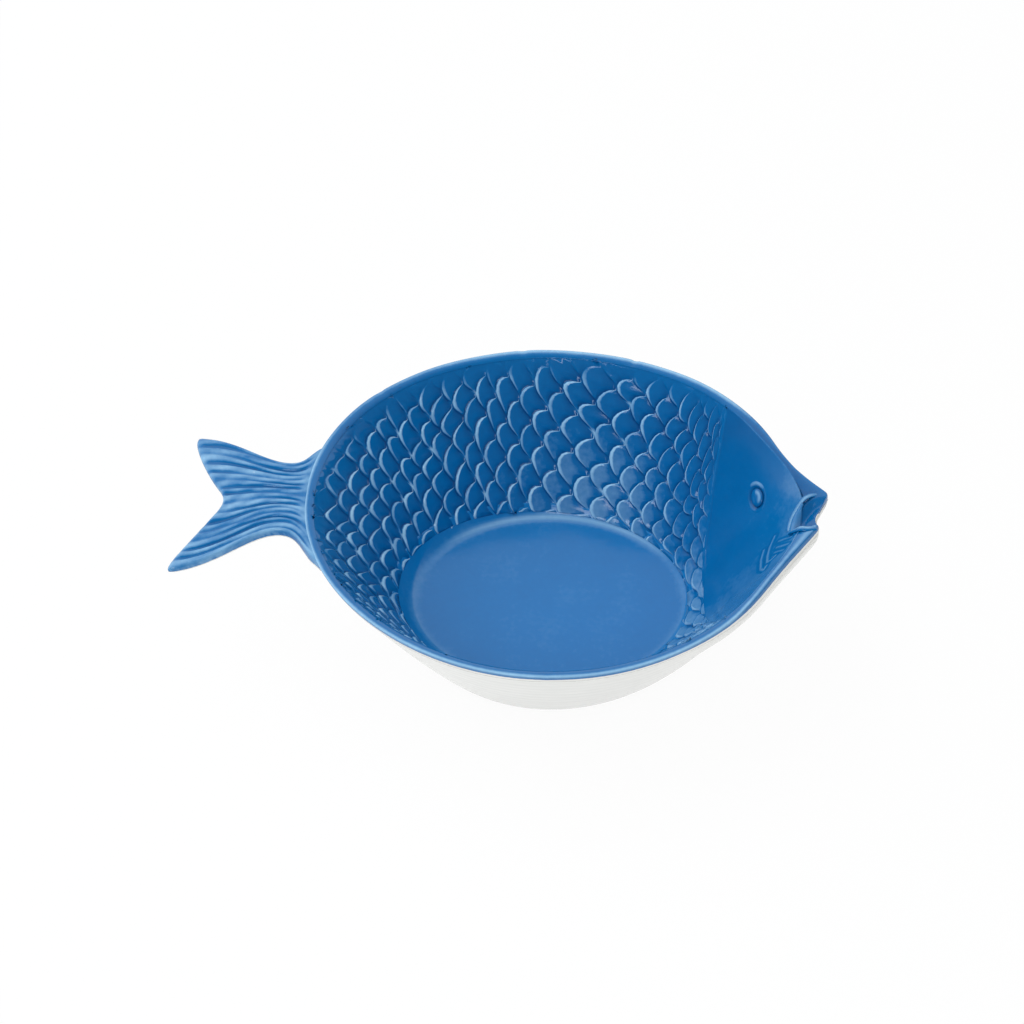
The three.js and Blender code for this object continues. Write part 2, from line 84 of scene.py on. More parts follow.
def linear(code: str) -> tuple[float, float, float, float]:
    """Turn an sRGB hex colour into linear light.

    Args:
        code: Six hex digits, with a leading #.

    Returns:
        Linear red, green, blue and an alpha of one.
    """
    shares = [int(code[k:k + 2], 16) / 255 for k in (1, 3, 5)]
    light = [c / 12.92 if c <= 0.04045 else ((c + 0.055) / 1.055) ** 2.4 for c in shares]
    return (light[0], light[1], light[2], 1.0)


def per_mm(size: float) -> float:
    """Scale of a pattern whose features are this many millimetres across."""
    return 1.0 / (size * MM)


def soft_min(first: Array, second: Array, reach: float) -> Array:
    """Lower of two heights, with the corner between them rounded over a reach."""
    return -reach * np.logaddexp(-first / reach, -second / reach)


def soft_ramp(value: Array, reach: float) -> Array:
    """Zero below nought and the value above it, with the bend rounded over a reach."""
    return reach * np.logaddexp(0.0, value / reach)


def ease(low: float, high: float, value: Array) -> Array:
    """Smooth climb from 0 at low to 1 at high."""
    share = np.clip((value - low) / (high - low), 0.0, 1.0)
    return share * share * (3.0 - 2.0 * share)


def bell(value: Array, middle: Array | float, reach: float) -> Array:
    """Smooth bump that is 1 at its middle and falls away over a reach."""
    return np.exp(-((value - middle) / reach) ** 2)


def line_distance(points: Array, line: Sequence[tuple[float, float]]) -> Array:
    """Distance of plan points from a broken line.

    Args:
        points: Plan points, with x and y in the last axis.
        line: Corners of the line.

    Returns:
        Distance of each point.
    """
    best = np.full(points.shape[:-1], np.inf)
    for start, end in zip(line[:-1], line[1:]):
        a = np.array(start)
        along = np.array(end) - a
        share = np.clip(((points - a) @ along) / (along @ along), 0.0, 1.0)
        gap = points - a - share[..., None] * along
        best = np.minimum(best, np.hypot(gap[..., 0], gap[..., 1]))
    return best


def inside(points: Array, outline: Sequence[tuple[float, float]]) -> Array:
    """Tell which plan points lie inside an outline.

    Args:
        points: Plan points, with x and y in the last axis.
        outline: Corners of the outline.

    Returns:
        True for each point inside.
    """
    x, y = points[..., 0], points[..., 1]
    found = np.zeros(x.shape, bool)
    for (ax, ay), (bx, by) in zip(outline, (*outline[1:], outline[0])):
        if ay == by:
            continue
        crosses = (ay > y) != (by > y)
        found ^= crosses & (x < ax + (y - ay) * (bx - ax) / (by - ay))
    return found


def add_node(
    tree: bpy.types.NodeTree,
    kind: str,
    inputs: dict[Any, Any] | None = None,
    **settings: Any,
) -> bpy.types.Node:
    """Add a node with its settings, constants and links.

    Args:
        tree: Node tree to add to.
        kind: Blender's name of the node type.
        inputs: Constants or output sockets, by input name or number.
        **settings: Properties of the node.

    Returns:
        The new node.
    """
    made = tree.nodes.new(kind)
    for name, value in settings.items():
        setattr(made, name, value)
    for name, value in (inputs or {}).items():
        if isinstance(value, bpy.types.NodeSocket):
            tree.links.new(value, made.inputs[name])
        else:
            made.inputs[name].default_value = value
    return made


def blank_material(name: str) -> tuple[bpy.types.Material, bpy.types.NodeTree]:
    """Start a material with an empty node tree.

    Args:
        name: Name of the material.

    Returns:
        The material and its tree.
    """
    made = bpy.data.materials.new(name)
    made.use_nodes = True
    made.node_tree.nodes.clear()
    return made, made.node_tree


def fire(
    tree: bpy.types.NodeTree,
    colour: bpy.types.NodeSocket,
    height: bpy.types.NodeSocket,
    bump: float,
    roughness: float,
    ior: float = 1.5,
    bump_mm: float = 1.0,
) -> None:
    """Join a surface's colour and fine height to its shader and output.

    Args:
        tree: Node tree of the material.
        colour: Colour of the surface.
        height: Height of its ripples or grit.
        bump: Strength of the height.
        roughness: Roughness of the surface.
        ior: Refraction of glaze or clay.
        bump_mm: Size of the height in millimetres.
    """
    rough = add_node(tree, "ShaderNodeBump", {
        "Height": height, "Strength": bump, "Distance": bump_mm * MM})
    shader = add_node(tree, "ShaderNodeBsdfPrincipled", {
        "Base Color": colour, "Roughness": roughness, "IOR": ior,
        "Normal": rough.outputs["Normal"]})
    add_node(tree, "ShaderNodeOutputMaterial", {"Surface": shader.outputs[0]})


@dataclass(frozen=True)
class BlueGlaze:
    """Transparent blue glaze over stoneware, fired glossy.

    Where it runs off an edge it is thin and the pale body shows through, and where it pools
    in a crease it is deep and dark. The same pale and dark ends also draw the painted
    highlights, sheen and shade that some pieces put in their glaze values. Below the rim it
    stops at the white glaze.
    """

    # a clear melt over clay: sharp mirror lights, and a blue that changes with its depth
    name: str
    body: str = "#026AAA"
    # dark end: pooled glaze, and painted shade where a piece asks for it
    pool: str = "#03407A"
    # pale end: thin glaze, and painted highlights where a piece asks for it
    thin: str = "#9AC9E9"
    white: str = "#E8E8E3"
    roughness: float = 0.13
    ior: float = 1.5
    cloud_mm: float = 24.0  # broad patches from dipping
    cloud: float = 0.16
    drift_mm: float = 3.2  # mottling where the glaze ran
    drift: float = 0.34
    ripple_mm: float = 5.0  # orange-peel ripple of the melt
    ripple: float = 0.05

    def make(self) -> bpy.types.Material:
        """Build the glaze's material.

        Returns:
            The material.
        """
        made, tree = blank_material(self.name)
        place = add_node(tree, "ShaderNodeTexCoord").outputs["Object"]
        cloud, drift, ripple = (
            add_node(tree, "ShaderNodeTexNoise", {
                "Vector": place, "Scale": per_mm(size), "Detail": detail})
            for size, detail in (
                (self.cloud_mm, 3.0), (self.drift_mm, 4.0), (self.ripple_mm, 1.0)))
        layer, edge = (
            add_node(tree, "ShaderNodeAttribute", attribute_name=name.value)
            for name in (Layer.GLAZE, Layer.WHITE))
        moved, spread = (
            add_node(tree, "ShaderNodeMath", {
                0: noise.outputs["Fac"], 1: strength * 2.0, 2: -strength},
                operation="MULTIPLY_ADD")
            for noise, strength in ((drift, self.drift), (cloud, self.cloud)))
        ground = add_node(tree, "ShaderNodeMath", {
            0: layer.outputs["Fac"], 1: spread.outputs[0]}, operation="ADD")
        depth = add_node(tree, "ShaderNodeMath", {
            0: moved.outputs[0], 1: 0.5, 2: ground.outputs[0]}, operation="MULTIPLY_ADD")
        ramp = add_node(tree, "ShaderNodeMapRange", {
            0: depth.outputs[0], 1: -1.0, 2: 1.0, 3: 0.0, 4: 1.0})
        colours = add_node(tree, "ShaderNodeValToRGB", {0: ramp.outputs[0]})
        stops = colours.color_ramp.elements
        stops[0].position, stops[0].color = 0.0, linear(self.pool)
        stops[1].position, stops[1].color = 1.0, linear(self.thin)
        middle = stops.new(0.5)
        middle.color = linear(self.body)
        wander = add_node(tree, "ShaderNodeMath", {
            0: moved.outputs[0], 1: 0.6, 2: edge.outputs["Fac"]},
            operation="MULTIPLY_ADD")
        stop = add_node(tree, "ShaderNodeMapRange", {
            0: wander.outputs[0], 1: 0.4, 2: 0.6, 3: 0.0, 4: 1.0},
            interpolation_type="SMOOTHSTEP")
        colour = add_node(tree, "ShaderNodeMix", {
            "Factor": stop.outputs[0], 6: colours.outputs[0], 7: linear(self.white)},
            data_type="RGBA")
        fire(tree, colour.outputs[2], ripple.outputs["Fac"],
             self.ripple, self.roughness, self.ior)
        return made


@dataclass(frozen=True)
class WhiteGlaze:
    """Tin-white glaze over stoneware: glossy, faintly cool, with soft brush drifts."""

    # an opaque melt: softer lights than the blue's, over an almost even white
    name: str = "white_glazed_stoneware"
    body: str = "#ECECE8"
    shade: str = "#DFE0DC"
    roughness: float = 0.18
    ior: float = 1.5
    drift_mm: float = 18.0
    ripple_mm: float = 7.0
    ripple: float = 0.08

    def make(self) -> bpy.types.Material:
        """Build the glaze's material.

        Returns:
            The material.
        """
        made, tree = blank_material(self.name)
        place = add_node(tree, "ShaderNodeTexCoord").outputs["Object"]
        flat = add_node(tree, "ShaderNodeMapping", {"Vector": place, "Scale": (1, 1, 3)})
        drift = add_node(tree, "ShaderNodeTexNoise", {
            "Vector": flat.outputs[0], "Scale": per_mm(self.drift_mm), "Detail": 4.0})
        colour = add_node(tree, "ShaderNodeMix", {
            "Factor": drift.outputs["Fac"], 6: linear(self.body), 7: linear(self.shade)},
            data_type="RGBA")
        ripple = add_node(tree, "ShaderNodeTexNoise", {
            "Vector": place, "Scale": per_mm(self.ripple_mm), "Detail": 1.0})
        fire(tree, colour.outputs[2], ripple.outputs["Fac"],
             self.ripple, self.roughness, self.ior)
        return made


@dataclass(frozen=True)
class BareClay:
    """Unglazed stoneware of the foot: matt, sandy and lightly speckled."""

    # clay and sand without a melt: no shine, and darker grains
    name: str = "bare_stoneware"
    body: str = "#D2C3AC"
    grit: str = "#A8937A"
    roughness: float = 0.85
    grit_mm: float = 0.9  # the real grit is about half that, too fine to show
    bump: float = 0.3
    bump_mm: float = 0.4

    def make(self) -> bpy.types.Material:
        """Build the clay's material.

        Returns:
            The material.
        """
        made, tree = blank_material(self.name)
        place = add_node(tree, "ShaderNodeTexCoord").outputs["Object"]
        grit = add_node(tree, "ShaderNodeTexNoise", {
            "Vector": place, "Scale": per_mm(self.grit_mm), "Detail": 3.0})
        speck = add_node(tree, "ShaderNodeMapRange", {
            0: grit.outputs["Fac"], 1: 0.5, 2: 0.75, 3: 0.0, 4: 1.0})
        colour = add_node(tree, "ShaderNodeMix", {
            "Factor": speck.outputs[0], 6: linear(self.body), 7: linear(self.grit)},
            data_type="RGBA")
        fire(tree, colour.outputs[2], grit.outputs["Fac"],
             self.bump, self.roughness, bump_mm=self.bump_mm)
        return made


@dataclass(frozen=True)
class BowlForm:
    """Oval wall of the bowl, with a beak at the mouth end."""

    rim_half_length: float = 145.4
    rim_half_width: float = 128.9
    rim_z: float = 96.0
    rim_thickness: float = 6.0
    floor_half_length: float = 79.0
    floor_half_width: float = 62.6
    floor_z: float = 12.0
    cove: float = 0.12
    base_half_length: float = 83.0
    base_half_width: float = 76.0
    foot_height: float = 3.0
    fullness: float = 1.15
    head_fullness: float = 0.15
    skirt: float = 0.95
    near_dent: tuple[float, float, float] = (2.2, -0.5, 0.2)  # depth, middle, reach
    sway: tuple[float, float, float] = (2.9, 20.0, 130.0)  # rise, and where it starts and ends
    sway_from: float = 30.0
    upper_beak: tuple[float, float] = (30.0, 0.37)  # push and spread
    lower_beak: tuple[float, float] = (25.2, 0.47)
    beak_growth: float = 0.8
    mouth_x: float = 155.0
    upper_mouth: tuple[float, float] = (-6.5, 0.63)  # start and slope of the blunt tip
    lower_mouth: tuple[float, float] = (-8.5, 0.46)
    mouth_rounding: float = 1.3
    snout: tuple[float, float] = (9.0, 0.5)  # push and spread

    def beak(self, theta: Array) -> Array:
        """Push of the outer rim toward the mouth at an angle round the bowl.

        Args:
            theta: Angles round the bowl.

        Returns:
            Length added along the fish.
        """
        side, ahead = np.sin(theta), np.cos(theta)
        upper = side >= 0.0
        reach = np.where(upper, self.upper_beak[0], self.lower_beak[0])
        spread = np.where(upper, self.upper_beak[1], self.lower_beak[1])
        swell = reach * np.clip(1.0 - np.abs(side) / spread, 0.0, 1.0) ** 2
        plain = self.rim_half_length * ahead
        y = self.rim_half_width * side
        blunt = (
            self.mouth_x
            + self.upper_mouth[1] * soft_ramp(y - self.upper_mouth[0], 1.5)
            + self.lower_mouth[1] * soft_ramp(self.lower_mouth[0] - y, 1.5)
        )
        outline = soft_min(plain + swell, blunt, self.mouth_rounding)
        deep, middle, reach = self.near_dent
        dent = deep * bell(side, middle, reach)
        return np.where(ahead > 0.5, outline - plain - dent, 0.0)

    def outer(self, theta: Array, level: Array) -> Array:
        """Points of the outside of the wall.

        Args:
            theta: Angles round the bowl.
            level: Heights, from 0 at the foot to 1 at the rim.

        Returns:
            Points, with x, y and z in the last axis.
        """
        rise = np.maximum(level, 0.0)
        climb = rise ** (self.fullness + self.head_fullness * np.cos(theta))
        under_head = ease(0.5, 0.95, np.cos(theta)) * ease(0.55, 0.95, climb)
        full = rise + self.skirt * under_head * (1.0 - rise)
        beak_rise = rise + (full - rise) * ease(0.06, -0.08, np.sin(theta))
        length = self.base_half_length + (self.rim_half_length - self.base_half_length) * full
        width = self.base_half_width + (self.rim_half_width - self.base_half_width) * full
        x = length * np.cos(theta) + self.beak(theta) * beak_rise ** self.beak_growth
        y = width * np.sin(theta)
        z = self.foot_height + (self.rim_z - self.foot_height) * climb
        return np.stack(np.broadcast_arrays(x, y, z), -1)

    def outer_level(self, theta: Array, z: Array) -> Array:
        """Level of the outside of the wall at an angle and a height.

        Args:
            theta: Angles round the bowl.
            z: Heights.

        Returns:
            Levels, from 0 at the foot to 1 at the rim.
        """
        share = (z - self.foot_height) / (self.rim_z - self.foot_height)
        climb = self.fullness + self.head_fullness * np.cos(theta)
        return np.clip(share, 0.0, None) ** (1.0 / climb)

    def swayed(self, points: Array) -> Array:
        """Lift the rim a little toward the head and the tail, as the pressed bowl is.

        Args:
            points: Points, with x, y and z in the last axis.

        Returns:
            The lifted points.
        """
        most, start, end = self.sway
        made = np.array(points, float)
        ends = ease(start, end, np.abs(made[..., 0]))
        made[..., 2] += most * ends * ease(self.sway_from, self.rim_z, made[..., 2])
        return made

    def halves(self, level: Array) -> tuple[Array, Array]:
        """Half length and half width of the inside of the wall at a level.

        Args:
            level: Levels: -1 at the middle of the floor, 0 at its edge and 1 at the rim.

        Returns:
            Half lengths and half widths.
        """
        rise, shrink = np.maximum(level, 0.0), 1.0 + np.minimum(level, 0.0)
        long_rim = self.rim_half_length - self.rim_thickness
        wide_rim = self.rim_half_width - self.rim_thickness
        length = self.floor_half_length * shrink + (long_rim - self.floor_half_length) * rise
        width = self.floor_half_width * shrink + (wide_rim - self.floor_half_width) * rise
        return length, width

    def snout_push(self, theta: Array) -> Array:
        """Push of the inner rim toward the mouth at an angle.

        Args:
            theta: Angles round the bowl.

        Returns:
            Length added along the fish.
        """
        side = np.abs(np.sin(theta)) / self.snout[1]
        swell = self.snout[0] * np.clip(1.0 - side * side, 0.0, 1.0) ** 2
        return np.where(np.cos(theta) > 0.0, swell, 0.0)

    def height(self, level: Array) -> Array:
        """Height of the inside of the wall at a level.

        Args:
            level: Levels, as for the halves.

        Returns:
            Heights.
        """
        rise = np.maximum(level, 0.0)
        share = np.hypot(rise, self.cove) - self.cove
        full = math.hypot(1.0, self.cove) - self.cove
        return self.floor_z + (self.rim_z - self.floor_z) * share / full

    def level_of(self, z: Array) -> Array:
        """Level of the inside of the wall at a height.

        Args:
            z: Heights.

        Returns:
            Levels.
        """
        full = math.hypot(1.0, self.cove) - self.cove
        share = (z - self.floor_z) / (self.rim_z - self.floor_z) * full + self.cove
        return np.sqrt(np.maximum(share * share - self.cove ** 2, 0.0))

    def level_at(self, z: float) -> float:
        """Level of the inside of the wall at one height."""
        return float(self.level_of(np.array(z)))

    def bare_inner(self, theta: Array, level: Array) -> Array:
        """Points of the smooth inside of the wall.

        Args:
            theta: Angles round the bowl.
            level: Levels, as for the halves.

        Returns:
            Points, with x, y and z in the last axis.
        """
        length, width = self.halves(level)
        rise = np.maximum(level, 0.0)
        x = length * np.cos(theta) + self.snout_push(theta) * rise * rise
        return np.stack(
            np.broadcast_arrays(x, width * np.sin(theta), self.height(level)), -1)

    def inner(self, theta: Array, level: Array, lift: Array | float = 0.0) -> Array:
        """Points over the inside of the wall, raised along its normal.

        Args:
            theta: Angles round the bowl.
            level: Levels, as for the bare wall.
            lift: Height over the wall, positive into the bowl.

        Returns:
            Points, with x, y and z in the last axis.
        """
        step = 1e-4
        theta, level = np.broadcast_arrays(np.asarray(theta, float), np.asarray(level, float))
        around = self.bare_inner(theta + step, level) - self.bare_inner(theta - step, level)
        upward = self.bare_inner(theta, level + step) - self.bare_inner(theta, level - step)
        normal = np.cross(around, upward)
        normal *= np.where(normal[..., 2:] < 0.0, -1.0, 1.0)
        size = np.linalg.norm(normal, axis=-1, keepdims=True)
        flat = np.broadcast_to(np.array([0.0, 0.0, 1.0]), normal.shape)
        normal = np.where(size > 1e-12, normal / np.maximum(size, 1e-12), flat)
        return self.bare_inner(theta, level) + normal * np.asarray(lift)[..., None]

    def locate(self, x: Array, y: Array, rounds: int = 1) -> tuple[Array, Array]:
        """Angle and level of the inside of the wall over a plan point.

        Args:
            x: Places along the fish.
            y: Places across the fish.
            rounds: Passes over the snout's push; one leaves it out.

        Returns:
            Angles and levels.
        """
        x, y = np.broadcast_arrays(np.asarray(x, float), np.asarray(y, float))
        push = np.zeros(x.shape)
        theta = level = push
        for _ in range(rounds):
            low, high = np.full(x.shape, -0.999), np.full(x.shape, 1.6)
            for _ in range(36):
                level = (low + high) / 2.0
                length, width = self.halves(level)
                over = ((x - push) / length) ** 2 + (y / width) ** 2 > 1.0
                low, high = np.where(over, level, low), np.where(over, high, level)
            length, width = self.halves(level)
            theta = np.arctan2(y / width, (x - push) / length)
            push = self.snout_push(theta) * np.maximum(level, 0.0) ** 2
        return theta, level


@dataclass(frozen=True)
class GillLine:
    """Line in plan that parts the scales from the smooth head."""

    x: float = 91.3
    bow: float = 29.9
    bow_width: float = 128.9
    middle: float = -12.0

    def at(self, y: Array) -> Array:
        """Place of the line along the fish."""
        return self.x + self.bow * ((y - self.middle) / self.bow_width) ** 2

    def end(self, top: float, side: Side) -> float:
        """Place across the fish where the line meets a level.

        Args:
            top: Level of the inside of the wall.
            side: Side of the fish.

        Returns:
            Place across the fish.
        """
        low, high = 20.0, 125.0
        for _ in range(40):
            y = np.array(side.value * (low + high) / 2.0)
            level = float(FORM.locate(self.at(y), y, rounds=6)[1])
            low, high = (abs(float(y)), high) if level < top else (low, abs(float(y)))
        return side.value * low


def smooth(corners: Array, spot: Array) -> Array:
    """Points along a line's corners, rounded between them by a cubic.

    Args:
        corners: Corners of the line, with x and y in the last axis.
        spot: Places along the line, counted in corners.

    Returns:
        Plan points at those places.
    """
    last = len(corners) - 1
    i = np.clip(np.floor(spot).astype(int), 0, last - 1)
    t = (spot - i)[:, None]
    before, start = corners[np.maximum(i - 1, 0)], corners[i]
    end, after = corners[i + 1], corners[np.minimum(i + 2, last)]
    bend = 2 * before - 5 * start + 4 * end - after
    twist = 3 * start - before - 3 * end + after
    return start + 0.5 * t * (end - before + t * (bend + t * twist))


def rounded(line: Line, steps: int = 6) -> Array:
    """Corners of a line with points of a cubic put between them.

    Args:
        line: Corners of the line.
        steps: Points to each span.

    Returns:
        Points of the rounded line.
    """
    spot = np.linspace(0.0, len(line) - 1.0, (len(line) - 1) * steps + 1)
    return smooth(np.array(line), spot)


@dataclass(frozen=True)
class Mouth:
    """Open mouth in plan: a pocket between the two lips, cut through the rim."""

    corner: tuple[float, float] = (139.7, -12.6)
    upper_edge: Line = (
        (170.0, 8.2), (159.2, 8.2), (152.0, 6.2), (146.9, 1.8), (142.4, -4.0), (139.7, -12.6))
    lower_edge: Line = (
        (139.7, -12.6), (143.5, -15.0), (148.1, -16.4), (156.5, -15.2), (170.0, -13.4))
    floor_z: float = 81.5
    floor_slope: float = 0.62
    upper_wall: float = 6.8
    lower_wall: float = 1.6

    def carve(self, points: Array, below: float = 0.0) -> Array:
        """Lower points inside the pocket to its floor.

        Args:
            points: Points, with x, y and z in the last axis.
            below: Depth under the floor.

        Returns:
            The points with the pocket cut.
        """
        plan = points[..., :2]
        upper, lower = rounded(self.upper_edge), rounded(self.lower_edge)
        outline = np.concatenate([upper, lower[1:]])
        sign = np.where(inside(plan, outline), 1.0, -1.0)
        share = np.minimum(*(
            ease(-below, wall - below, sign * line_distance(plan, edge))
            for edge, wall in ((upper, self.upper_wall), (lower, self.lower_wall))))
        floor = self.floor_z + self.floor_slope * (points[..., 0] - self.corner[0]) - below
        cut = np.maximum(points[..., 2] - floor, 0.0) * share
        made = points.copy()
        made[..., 2] -= cut
        return made


FORM = BowlForm()
GILL = GillLine()
MOUTH = Mouth()


def fish_origin() -> Array:
    """Place of the fish's own origin in the frame of the solids, in metres."""
    low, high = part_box("foot_ring")
    return np.array([(low.x + high.x) / 2.0, (low.y + high.y) / 2.0, low.z])


ORIGIN = fish_origin()


def to_scene(points: Array) -> Array:
    """Turn millimetres in the fish's frame into metres in the frame of the solids."""
    return FORM.swayed(points) * MM + ORIGIN


def fresh_mesh() -> bmesh.types.BMesh:
    """Start an empty mesh with room for every glaze layer.

    Returns:
        The mesh.
    """
    mesh = bmesh.new()
    for layer in Layer:
        mesh.verts.layers.float.new(layer.value)
    return mesh


def grid_shares(mesh: bmesh.types.BMesh, columns: int, rows: int) -> tuple[list, Array, Array]:
    """Add a flat grid to a mesh and give the share of each point across and along it.

    Args:
        mesh: Mesh to add to.
        columns: Faces across.
        rows: Faces along.

    Returns:
        The grid's points, their shares across and their shares along.
    """
    made = bmesh.ops.create_grid(mesh, x_segments=columns, y_segments=rows, size=0.5)["verts"]
    flat = np.array([p.co for p in made])
    across = np.rint((flat[:, 0] + 0.5) * columns) / columns
    along = np.rint((flat[:, 1] + 0.5) * rows) / rows
    return made, across, along


def settle(
    mesh: bmesh.types.BMesh,
    points: Sequence[bmesh.types.BMVert],
    places: Array,
    layers: dict[Layer, Array] | None = None,
) -> None:
    """Move points to their places in the scene and give them their glaze values.

    Args:
        mesh: Mesh that holds the points.
        points: Points to move.
        places: Places in the fish's frame, in millimetres.
        layers: Values for each point, by layer.
    """
    for point, place in zip(points, to_scene(places)):
        point.co = place
    for layer, values in (layers or {}).items():
        stored = mesh.verts.layers.float[layer.value]
        for point, value in zip(points, values):
            point[stored] = float(value)


def link_mesh(name: str, mesh: bmesh.types.BMesh) -> bpy.types.Object:
    """Turn a mesh into an object of the scene, and use it up.

    Args:
        name: Name of the object.
        mesh: Finished mesh.

    Returns:
        The object.
    """
    data = bpy.data.meshes.new(name)
    mesh.to_mesh(data)
    mesh.free()
    made = bpy.data.objects.new(name, data)
    bpy.context.collection.objects.link(made)
    return made


@dataclass
class Piece:
    """One finished piece of the bowl and what it stands for."""

    name: str
    nodes: tuple[str, ...]
    slot: str
    finish: BlueGlaze | WhiteGlaze | BareClay
    wall: float = 0.0
    outward: bool = True

    def finish_mesh(self, mesh: bmesh.types.BMesh) -> bpy.types.Object:
        """Close a mesh, give it a wall and its glaze, and hang it on the body.

        Args:
            mesh: Shaped mesh, which is used up.

        Returns:
            The finished piece.
        """
        bmesh.ops.remove_doubles(mesh, verts=mesh.verts, dist=WELD)
        bmesh.ops.dissolve_degenerate(mesh, edges=mesh.edges, dist=WELD / 4)
        bmesh.ops.recalc_face_normals(mesh, faces=mesh.faces)
        if self.wall > 0.0:
            high = max(mesh.faces, key=lambda f: abs(f.normal.z) * f.calc_area())
            if (high.normal.z > 0.0) != self.outward:
                bmesh.ops.reverse_faces(mesh, faces=mesh.faces)
        for face in mesh.faces:
            face.smooth = True
        made = link_mesh(self.name, mesh)
        if self.wall > 0.0:
            back = made.modifiers.new("wall", "SOLIDIFY")
            back.thickness = self.wall * MM
            back.offset = -1.0
        made.data.materials.append(self.finish.make())
        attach(made, BODY)
        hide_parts(*self.nodes)
        log.info("%s: %d faces", self.name, len(made.data.polygons))
        return made


@dataclass
class WhiteBody:
    """White outside of the bowl, from the rim down to the foot, and the foot itself."""

    around: int = 180
    rows: int = 44
    top_z: float = 90.6
    foot_rows: int = 6
    throwing: float = 0.12
    throwing_pitch: float = 0.9
    under_pocket: float = 3.5
    foot_outer: tuple[float, float] = (79.0, 72.0)  # half length and half width
    foot_width: float = 8.0
    foot_height: float = 3.2
    foot_bevel: float = 1.1
    foot_segments: int = 96

    def build(self) -> None:
        """Build and dress the wall and the foot."""
        self.wall()
        self.foot()

    def wall(self) -> None:
        """Build the outside of the wall with its underside."""
        mesh = fresh_mesh()
        points, across, along = grid_shares(mesh, self.around, self.rows)
        theta = across * math.tau
        under = self.foot_rows / self.rows
        level = np.clip((along - under) / (1.0 - under), 0.0, 1.0)
        top = FORM.outer_level(theta, np.full(len(theta), self.top_z))
        places = FORM.outer(theta, level * top)
        mark = self.throwing * np.sin(
            places[:, 2] * self.throwing_pitch + 1.5 * np.sin(theta * 2.0 + 0.6))
        places[:, 0] += mark * np.cos(theta) * level
        places[:, 1] += mark * np.sin(theta) * level
        inward = np.clip(1.0 - along / under, 0.0, 1.0) ** 1.5
        places[:, :2] *= (1.0 - inward)[:, None]
        settle(mesh, points, MOUTH.carve(places, self.under_pocket))
        Piece("white_wall", ("outer_shell",), "white_glaze", WhiteGlaze(),
              wall=1.6, outward=False).finish_mesh(mesh)

    def foot(self) -> None:
        """Build the foot ring from a circle, pulled oval, raised and rounded."""
        mesh = bmesh.new()
        outer, inner = (
            bmesh.ops.create_circle(mesh, segments=self.foot_segments, radius=1.0)["verts"]
            for _ in range(2))
        shrink = [(length - self.foot_width) / length for length in self.foot_outer]
        bmesh.ops.scale(mesh, verts=inner, vec=(*shrink, 1.0))
        bmesh.ops.bridge_loops(mesh, edges=mesh.edges[:])
        bmesh.ops.scale(mesh, verts=outer + inner, vec=(
            self.foot_outer[0] * MM, self.foot_outer[1] * MM, 1.0))
        sole = mesh.faces[:]
        raised = bmesh.ops.extrude_face_region(mesh, geom=sole)["geom"]
        lifted = [g for g in raised if isinstance(g, bmesh.types.BMVert)]
        bmesh.ops.translate(mesh, verts=lifted, vec=(0.0, 0.0, self.foot_height * MM))
        edges = [e for e in mesh.edges if all(v.co.z < MM for v in e.verts)
                 and len(e.link_faces) == 2 and e.calc_face_angle(0.0) > 1.0]
        bmesh.ops.bevel(mesh, geom=edges, offset=self.foot_bevel * MM, segments=3,
                        profile=0.5, affect="EDGES", material=-1)
        bmesh.ops.translate(mesh, verts=mesh.verts, vec=Vector(ORIGIN))
        Piece("foot", ("foot_ring",), "bare_clay", BareClay()).finish_mesh(mesh)


@dataclass
class WellFloor:
    """Smooth blue floor of the well and the cove that rises to the scales."""

    around: int = 128
    rows: int = 56
    top: float = 0.06
    sink: float = 0.1
    swell: float = 0.12

    def build(self) -> None:
        """Build and dress the floor."""
        mesh = fresh_mesh()
        points, across, along = grid_shares(mesh, self.around, self.rows)
        theta = across * math.tau
        top = ScaleWall.bottom(theta) + self.top
        level = -1.0 + (1.0 + top) * along ** 0.8
        rough = FORM.bare_inner(theta, level)
        uneven = (np.sin(rough[:, 0] * 0.061 + 0.7) * np.cos(rough[:, 1] * 0.083 - 0.4)
                  + 0.6 * np.sin(rough[:, 0] * 0.13 + rough[:, 1] * 0.09))
        lift = -self.sink + self.swell * uneven * (1.0 - along ** 4)
        back = ease(0.45, 0.95, np.sin(theta + 0.1))
        # painted highlight: a paler band where the floor turns up into the cove, stronger and
        # narrower along the far side
        pool = -0.02 + 0.12 * bell(level, 0.03, 0.05)
        pool = pool + 0.6 * back * bell(level, 0.05, 0.022)
        settle(mesh, points, FORM.inner(theta, level, lift), {Layer.GLAZE: pool})
        glaze = BlueGlaze("floor_blue_glaze", body="#0673B6", cloud=0.10, drift=0.14)
        Piece("floor", ("well_floor",), "floor_blue", glaze, wall=1.6).finish_mesh(mesh)


